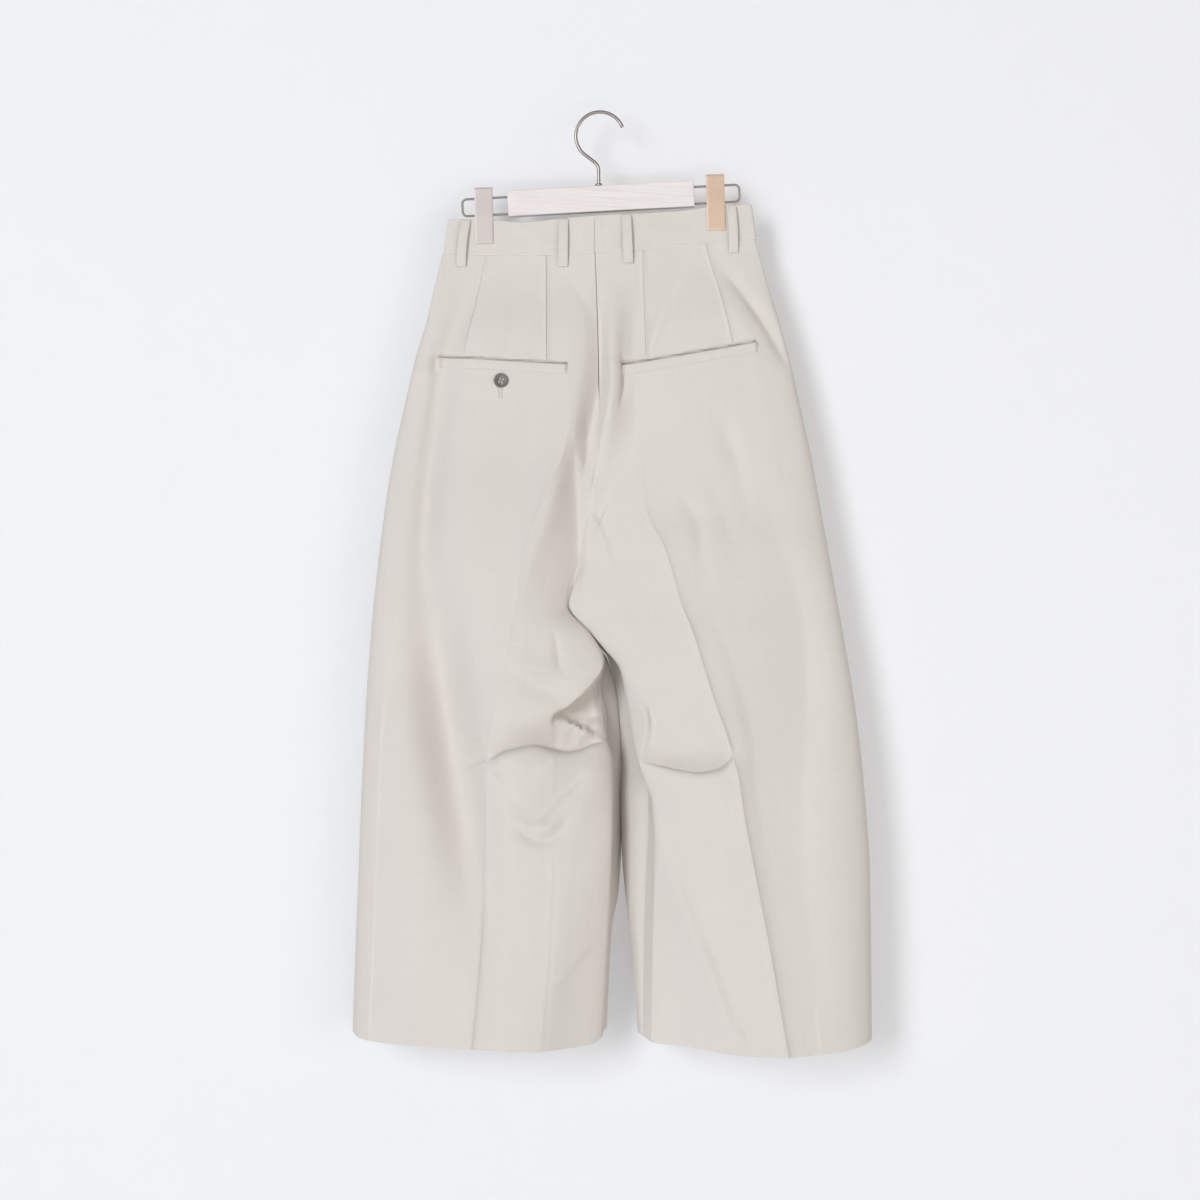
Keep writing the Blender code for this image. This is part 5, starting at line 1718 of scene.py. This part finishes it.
DARTS = (
    Dart(((-126, -157.5), (-131, -186), (-138, -218), (-146, -250), (-149, -268.5)), 0.5, 0.45),
    Dart(((-58.9, -157.5), (-58.5, -200), (-58.2, -240), (-57.8, -276)), 1.15, 1.2),
    Dart(((47.3, -152.0), (48.2, -190), (49.4, -230), (50.6, -272)), 0.75, 0.8),
    Dart(((116.5, -144.8), (123, -168), (131.5, -196), (139, -226), (145.5, -256.5)), 1.0, 0.7),
)
# Across in millimetres, share of the lip's height, and 1 to the right of the ditch.
DITCH = np.array((
    (-5.5, 0.0, 0), (-4.2, 0.12, 0), (-3.0, 0.38, 0), (-1.8, 0.74, 0), (-1.0, 0.95, 0),
    (-0.56, 1.0, 0), (-0.42, 0.9, 0), (-0.34, 0.0, 0), (0.34, 0.0, 1), (0.42, 0.9, 1),
    (0.56, 1.0, 1), (1.0, 0.95, 1), (1.8, 0.74, 1), (3.0, 0.38, 1), (4.2, 0.12, 1),
    (5.5, 0.0, 1)))
DITCH_FLOOR = 0.03
DITCH_FADE = 0.06
DITCH_CLOTH = 0.5
FLY_TOP = -159.0
FLY_EDGE = 1.2
FLY_WIDTH = 36.0
FLY_LENGTH = 175.0
FLY_STRAIGHT = 0.6
FLY_ROUND = 0.43
FLY_GAP = 0.5
POCKET_BUTTON = (-107.6, -296.2)
POCKET_BUTTON_SUNK = 0.8
LAP_BUTTON = (-17.0, -134.0)
BUTTON_TURN = math.radians(-22.0)


@dataclass(frozen=True)
class Cut:
    """How a cloth piece was cut, in metres and square metres, and how it is held now."""

    piece: str
    flat: tuple[float, float]
    area: float
    held: str
    rests_on: tuple[str, ...]
    with_pieces: tuple[str, ...] = ()


@dataclass
class Button:
    """A turned four-hole button: a polar grid whose height is the turned profile less four wells."""

    radius: float = 8.0
    thickness: float = 3.0
    hole: float = 1.05
    offset: float = 1.75
    well_depth: float = 1.6
    well_edge: float = 0.12
    strand: float = 0.13
    rings: int = 54
    sides: int = 96

    def disc(self) -> tuple[np.ndarray, np.ndarray]:
        """The button flat on XY, its face up.

        The profile is read along its own length, and each well is a steep step down around a hole.

        Returns:
            Vertices and faces.
        """
        profile = np.array(((0.0, 0.55), (0.3, 0.55), (0.5, 0.56), (0.62, 0.6), (0.70, 0.78),
                            (0.77, 0.95), (0.84, 1.0), (0.91, 0.97), (0.97, 0.84), (1.0, 0.62),
                            (0.99, 0.36), (0.94, 0.14), (0.84, 0.02), (0.7, 0.0), (0.3, 0.0),
                            (0.0, 0.0)))
        run = np.concatenate(([0.0], np.cumsum(np.linalg.norm(np.diff(profile, axis=0), axis=1))))
        places = np.linspace(0.0, run[-1], self.rings + 20)
        across = np.interp(places, run, profile[:, 0])[:, None] * self.radius
        up = np.interp(places, run, profile[:, 1])[:, None] * self.thickness
        angles = np.linspace(0.0, 2 * math.pi, self.sides, endpoint=False)[None, :]
        x = across * np.cos(angles)
        y = across * np.sin(angles)
        top = (places < run[-1] * 0.4)[:, None]
        nearest = np.hypot(np.abs(x) - self.offset, np.abs(y) - self.offset)
        well = smooth_step((self.hole + self.well_edge - nearest) / (2 * self.well_edge)) * top
        z = np.broadcast_to(up, x.shape) - well * self.well_depth
        points = np.stack((x, y, z), axis=-1)
        index = np.arange(points[..., 0].size).reshape(x.shape)
        index[0] = index[0, 0]
        index[-1] = index[-1, 0]
        return points.reshape(-1, 3), quads(np.hstack((index, index[:, :1])))

    def threads(self) -> list[tuple[np.ndarray, np.ndarray]]:
        """Two crossed strands between the holes: arches over the button's face."""
        share = np.linspace(0.0, 1.0, 18)
        strands = []
        for side in (-1, 1):
            x = self.offset * (2 * share - 1)
            z = self.thickness * 0.55 - 1.1 + 1.35 * np.sin(share * math.pi) ** 0.35
            radii = np.full(len(share), self.strand)
            strands.append(tube(np.stack((x, side * x, z), axis=-1), radii, 7))
        return strands

    @staticmethod
    def placed(points: np.ndarray, x: float, y: float, z: float, facing: int) -> np.ndarray:
        """Turns points so that the button's face looks along facing Y, and moves them."""
        across = points[:, 0] * math.cos(BUTTON_TURN) - points[:, 1] * math.sin(BUTTON_TURN)
        up = points[:, 0] * math.sin(BUTTON_TURN) + points[:, 1] * math.cos(BUTTON_TURN)
        return np.stack((across * -facing + x, points[:, 2] * facing + y, up + z), axis=-1)


# ---------------------------------------------------------------- the hanger

@dataclass
class HangerSizes:
    """Sizes that the hanger's pieces share."""

    tilt: float = math.radians(-3.1)
    centre: tuple[float, float] = (1.0, -94.0)
    bar_height: float = 28.5


@dataclass
class Hanger:
    """The hook and the clips, finer than the frame's. The bar and rails keep their solids."""

    finishes: Finishes
    wire: float = 3.7
    radius: float = 26.5
    tip_angle: float = 30.0
    leave_angle: float = 228.0
    stem_x: float = -1.2
    stem_top: float = -66.0
    rail_wire: float = 2.7
    clip_width: float = 20.0
    clip_height: float = 62.0
    clip_plate: float = 1.2
    clip_shoulder: tuple[float, float] = (-6.0, -35.0)
    clip_tilt: float = math.radians(-1.3)

    def build(self, nodes: dict[str, bpy.types.Object]) -> None:
        """Builds the hook and clips and dresses the bar and rails.

        Args:
            nodes: The frame's nodes by name.
        """
        self.build_hook()
        self.build_clip("clip_left", -128.3, -81.2, self.finishes.taupe)
        self.build_clip("clip_right", 126.4, -66.8, self.finishes.copper)
        for name, material in (("hanger_bar", self.finishes.wood),
                               ("rail_left", self.finishes.wire),
                               ("rail_right", self.finishes.wire)):
            for place in nodes[name].material_slots:
                place.material = material

    def build_hook(self) -> None:
        """Three quarters of a circle with a rounded tip, a slanted run and the upright stem."""
        centre = (0.0, -(self.radius - self.wire / 2))
        lead = np.array((-9.0, -8.6, -7.6, -6.0, -4.2, -2.6, -1.2))
        swell = np.array((0.35, 0.8, 1.1, 1.22, 1.16, 1.06, 1.0))
        angles = np.radians(np.concatenate((
            self.tip_angle + lead, np.linspace(self.tip_angle, self.leave_angle, 110))))
        bend = np.stack((centre[0] + self.radius * np.cos(angles), np.zeros_like(angles),
                         centre[1] + self.radius * np.sin(angles)), axis=-1)
        last = bend[-1]
        elbow = np.array((last, (-7.0, 0, -52.6), (-4.0, 0, -55.4), (-2.2, 0, -58.4),
                          (-1.4, 0, -62.0), (self.stem_x, 0, self.stem_top)))
        tilt = HangerSizes.tilt
        foot = HangerSizes.centre[1] + HangerSizes.bar_height / 2 + 0.4
        foot += (self.stem_x - HangerSizes.centre[0]) * math.tan(-tilt)
        stem = np.stack((np.full(8, self.stem_x), np.zeros(8),
                         np.linspace(self.stem_top, foot, 9)[1:]), axis=-1)
        path = np.concatenate((bend, spline(elbow, 8)[1:], stem))
        radii = np.full(len(path), self.wire / 2)
        radii[:len(swell)] *= swell
        collar_z = foot + np.array((0.0, 0.3, 0.7, 1.8, 2.3, 2.5))
        collar = np.stack((np.full(6, self.stem_x), np.zeros(6), collar_z), axis=-1)
        parts = [tube(path, radii, 28),
                 tube(collar, np.array((3.4, 3.9, 4.0, 4.0, 3.7, 2.2)), 28)]
        piece = make_mesh("metal_hanger_hook", *joined(parts), sharp_degrees=50)
        finish_piece(piece, self.finishes.nickel, ("hanger_hook",))

    def build_clip(self, name: str, x: float, z: float, material: bpy.types.Material) -> None:
        """A folded plate over the rails: jaw, shoulder, crown, and the same on the other side.

        The section is a smooth path of points, and the plate's free edges round off to a third of
        its thickness.

        Args:
            name: The frame's node.
            x: Place across.
            z: Height of its top.
            material: Its finish.
        """
        half = self.clip_plate / 2
        rail_clear = self.rail_wire / 2 + LIE_GAP + half
        band_clear = BAND_GAP_CLIP + BAND / 2 + LIE_GAP + half
        bend = np.linspace(0.0, 1.0, 14)
        side_y = mix(np.full(14, rail_clear), band_clear, smooth_step(bend))
        side_z = mix(np.full(14, self.clip_shoulder[0]), self.clip_shoulder[1], bend)
        jaw = np.stack((np.concatenate((side_y, np.full(10, band_clear))),
                        np.concatenate((side_z, np.linspace(self.clip_shoulder[1],
                                                            -self.clip_height, 11)[1:]))), axis=-1)
        angles = np.radians(np.linspace(0.0, 180.0, 17))
        crown = np.stack((rail_clear * np.cos(angles),
                          -half - rail_clear + rail_clear * np.sin(angles)), axis=-1)
        mirrored = jaw * np.array((-1.0, 1.0))
        path = np.concatenate((jaw[::-1], crown, mirrored))
        across = (crowded(16, 0.75, 0.75)[None, :] * 2 - 1) * self.clip_width / 2
        edge = np.clip((np.abs(across) - self.clip_width / 2 + 0.5) / 0.5, 0.0, 1.0)
        y = -path[:, :1] + 0 * across
        depth = path[:, 1:] + 0 * across
        middle = np.stack((across + 0 * y, y, depth), axis=-1)
        normals = grid_normals(middle, False)
        thick = self.clip_plate * (1.0 - 0.5 * edge ** 2) + 0 * y
        outer = middle + normals * thick[..., None] / 2
        turn = np.array(((math.cos(self.clip_tilt), 0, math.sin(self.clip_tilt)), (0, 1, 0),
                         (-math.sin(self.clip_tilt), 0, math.cos(self.clip_tilt))))
        outer = outer @ turn.T + np.array((x, 0.0, z))
        shell = Shell(outer, thick, False, Ends.BOTH, 3)
        points, faces, _ = shell.build()
        piece = make_mesh(f"metal_{name}", points, faces, sharp_degrees=45)
        finish_piece(piece, material, (name,))


# ---------------------------------------------------------------- the studio

@dataclass
class Studio:
    """Wall, floor, camera and lights. Lengths are in metres here."""

    finishes: Finishes
    wall_y: float = 0.053
    floor_z: float = -1.35
    camera_distance: float = 2.4
    camera_z: float = -0.535
    frame_width: float = 1.32

    def build(self) -> None:
        """Builds all of it."""
        wall = self.sheet("wall", ((-5, self.wall_y, self.floor_z), (5, self.wall_y, self.floor_z),
                                   (5, self.wall_y, 3.2), (-5, self.wall_y, 3.2)),
                          self.finishes.wall)
        floor = self.sheet("floor", ((-5, -5, self.floor_z), (5, -5, self.floor_z),
                                     (5, 5, self.floor_z), (-5, 5, self.floor_z)),
                           self.finishes.floor)
        self.build_camera()
        self.build_lights()
        scene = bpy.context.scene
        scene.view_settings.view_transform = "Standard"
        scene.view_settings.look = "None"

    @staticmethod
    def sheet(name: str, corners: Sequence[Point], material: bpy.types.Material
              ) -> bpy.types.Object:
        """A flat backdrop of one face."""
        mesh = bpy.data.meshes.new(name)
        mesh.from_pydata(corners, [], [tuple(range(len(corners)))])
        mesh.materials.append(material)
        piece = bpy.data.objects.new(name, mesh)
        bpy.context.scene.collection.objects.link(piece)
        return piece

    def build_camera(self) -> None:
        """A level camera straight before the garment's back."""
        data = bpy.data.cameras.new("camera")
        data.sensor_width = 36.0
        data.lens = data.sensor_width * self.camera_distance / self.frame_width
        camera = bpy.data.objects.new("camera", data)
        camera.location = (0.0, -self.camera_distance, self.camera_z)
        camera.rotation_euler = (math.pi / 2, 0.0, 0.0)
        bpy.context.scene.collection.objects.link(camera)
        bpy.context.scene.camera = camera

    def build_lights(self) -> None:
        """The area lights and an even sky."""
        for light in LIGHTS:
            data = bpy.data.lights.new(light.name, "AREA")
            data.shape = "ELLIPSE"
            data.size = light.width
            data.size_y = light.height
            data.energy = light.power
            data.color = light.colour
            lamp = bpy.data.objects.new(light.name, data)
            lamp.location = light.place
            way = np.array(light.target) - np.array(light.place)
            turn = math.atan2(way[0], -way[1])
            lean = math.atan2(math.hypot(way[0], way[1]), -way[2])
            lamp.rotation_euler = (lean, 0.0, math.pi + turn)
            if light.behind:
                data.cycles.use_multiple_importance_sampling = False
            bpy.context.scene.collection.objects.link(lamp)
        world = bpy.data.worlds.new("sky")
        world.use_nodes = True
        shade = world.node_tree.nodes["Background"]
        shade.inputs["Color"].default_value = (*SKY_COLOUR, 1.0)
        shade.inputs["Strength"].default_value = SKY_STRENGTH
        world.cycles.sampling_method = "NONE"
        bpy.context.scene.world = world


@dataclass(frozen=True)
class Light:
    """An elliptical soft light and what it faces."""

    name: str
    place: Point
    target: Point
    width: float
    height: float
    power: float
    colour: Colour
    behind: bool = False


LIGHTS = (
    Light("key", (-3.4, -6.5, 0.8), (0.0, 0.0, -0.5), 2.4, 3.9, 322.0, (0.965, 0.99, 1.045)),
    Light("warm_fill", (3.6, -4.3, -0.6), (0.0, 0.0, -0.5), 2.8, 2.8, 61.0, (1.07, 0.99, 0.9)),
    Light("low_fill", (0.4, -3.1, -1.18), (0.0, 0.0, -1.0), 3.0, 0.25, 17.0, (0.97, 0.99, 1.03)),
    Light("front_fill", (1.2, 2.4, 0.3), (0.0, 0.0, -0.5), 2.0, 2.0, 14.0, (1.0, 0.99, 0.98), True),
)
SKY_COLOUR = (1.0, 0.985, 0.965)
SKY_STRENGTH = 0.215


def main() -> None:
    """Loads the frame and dresses it, with its hanger and the studio."""
    logging.basicConfig(level=logging.INFO, format="%(message)s")
    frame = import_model()
    finishes = Finishes()
    Garment(finishes).build()
    Hanger(finishes).build(frame["nodes"])
    Studio(finishes).build()


if __name__ == "__main__":
    main()
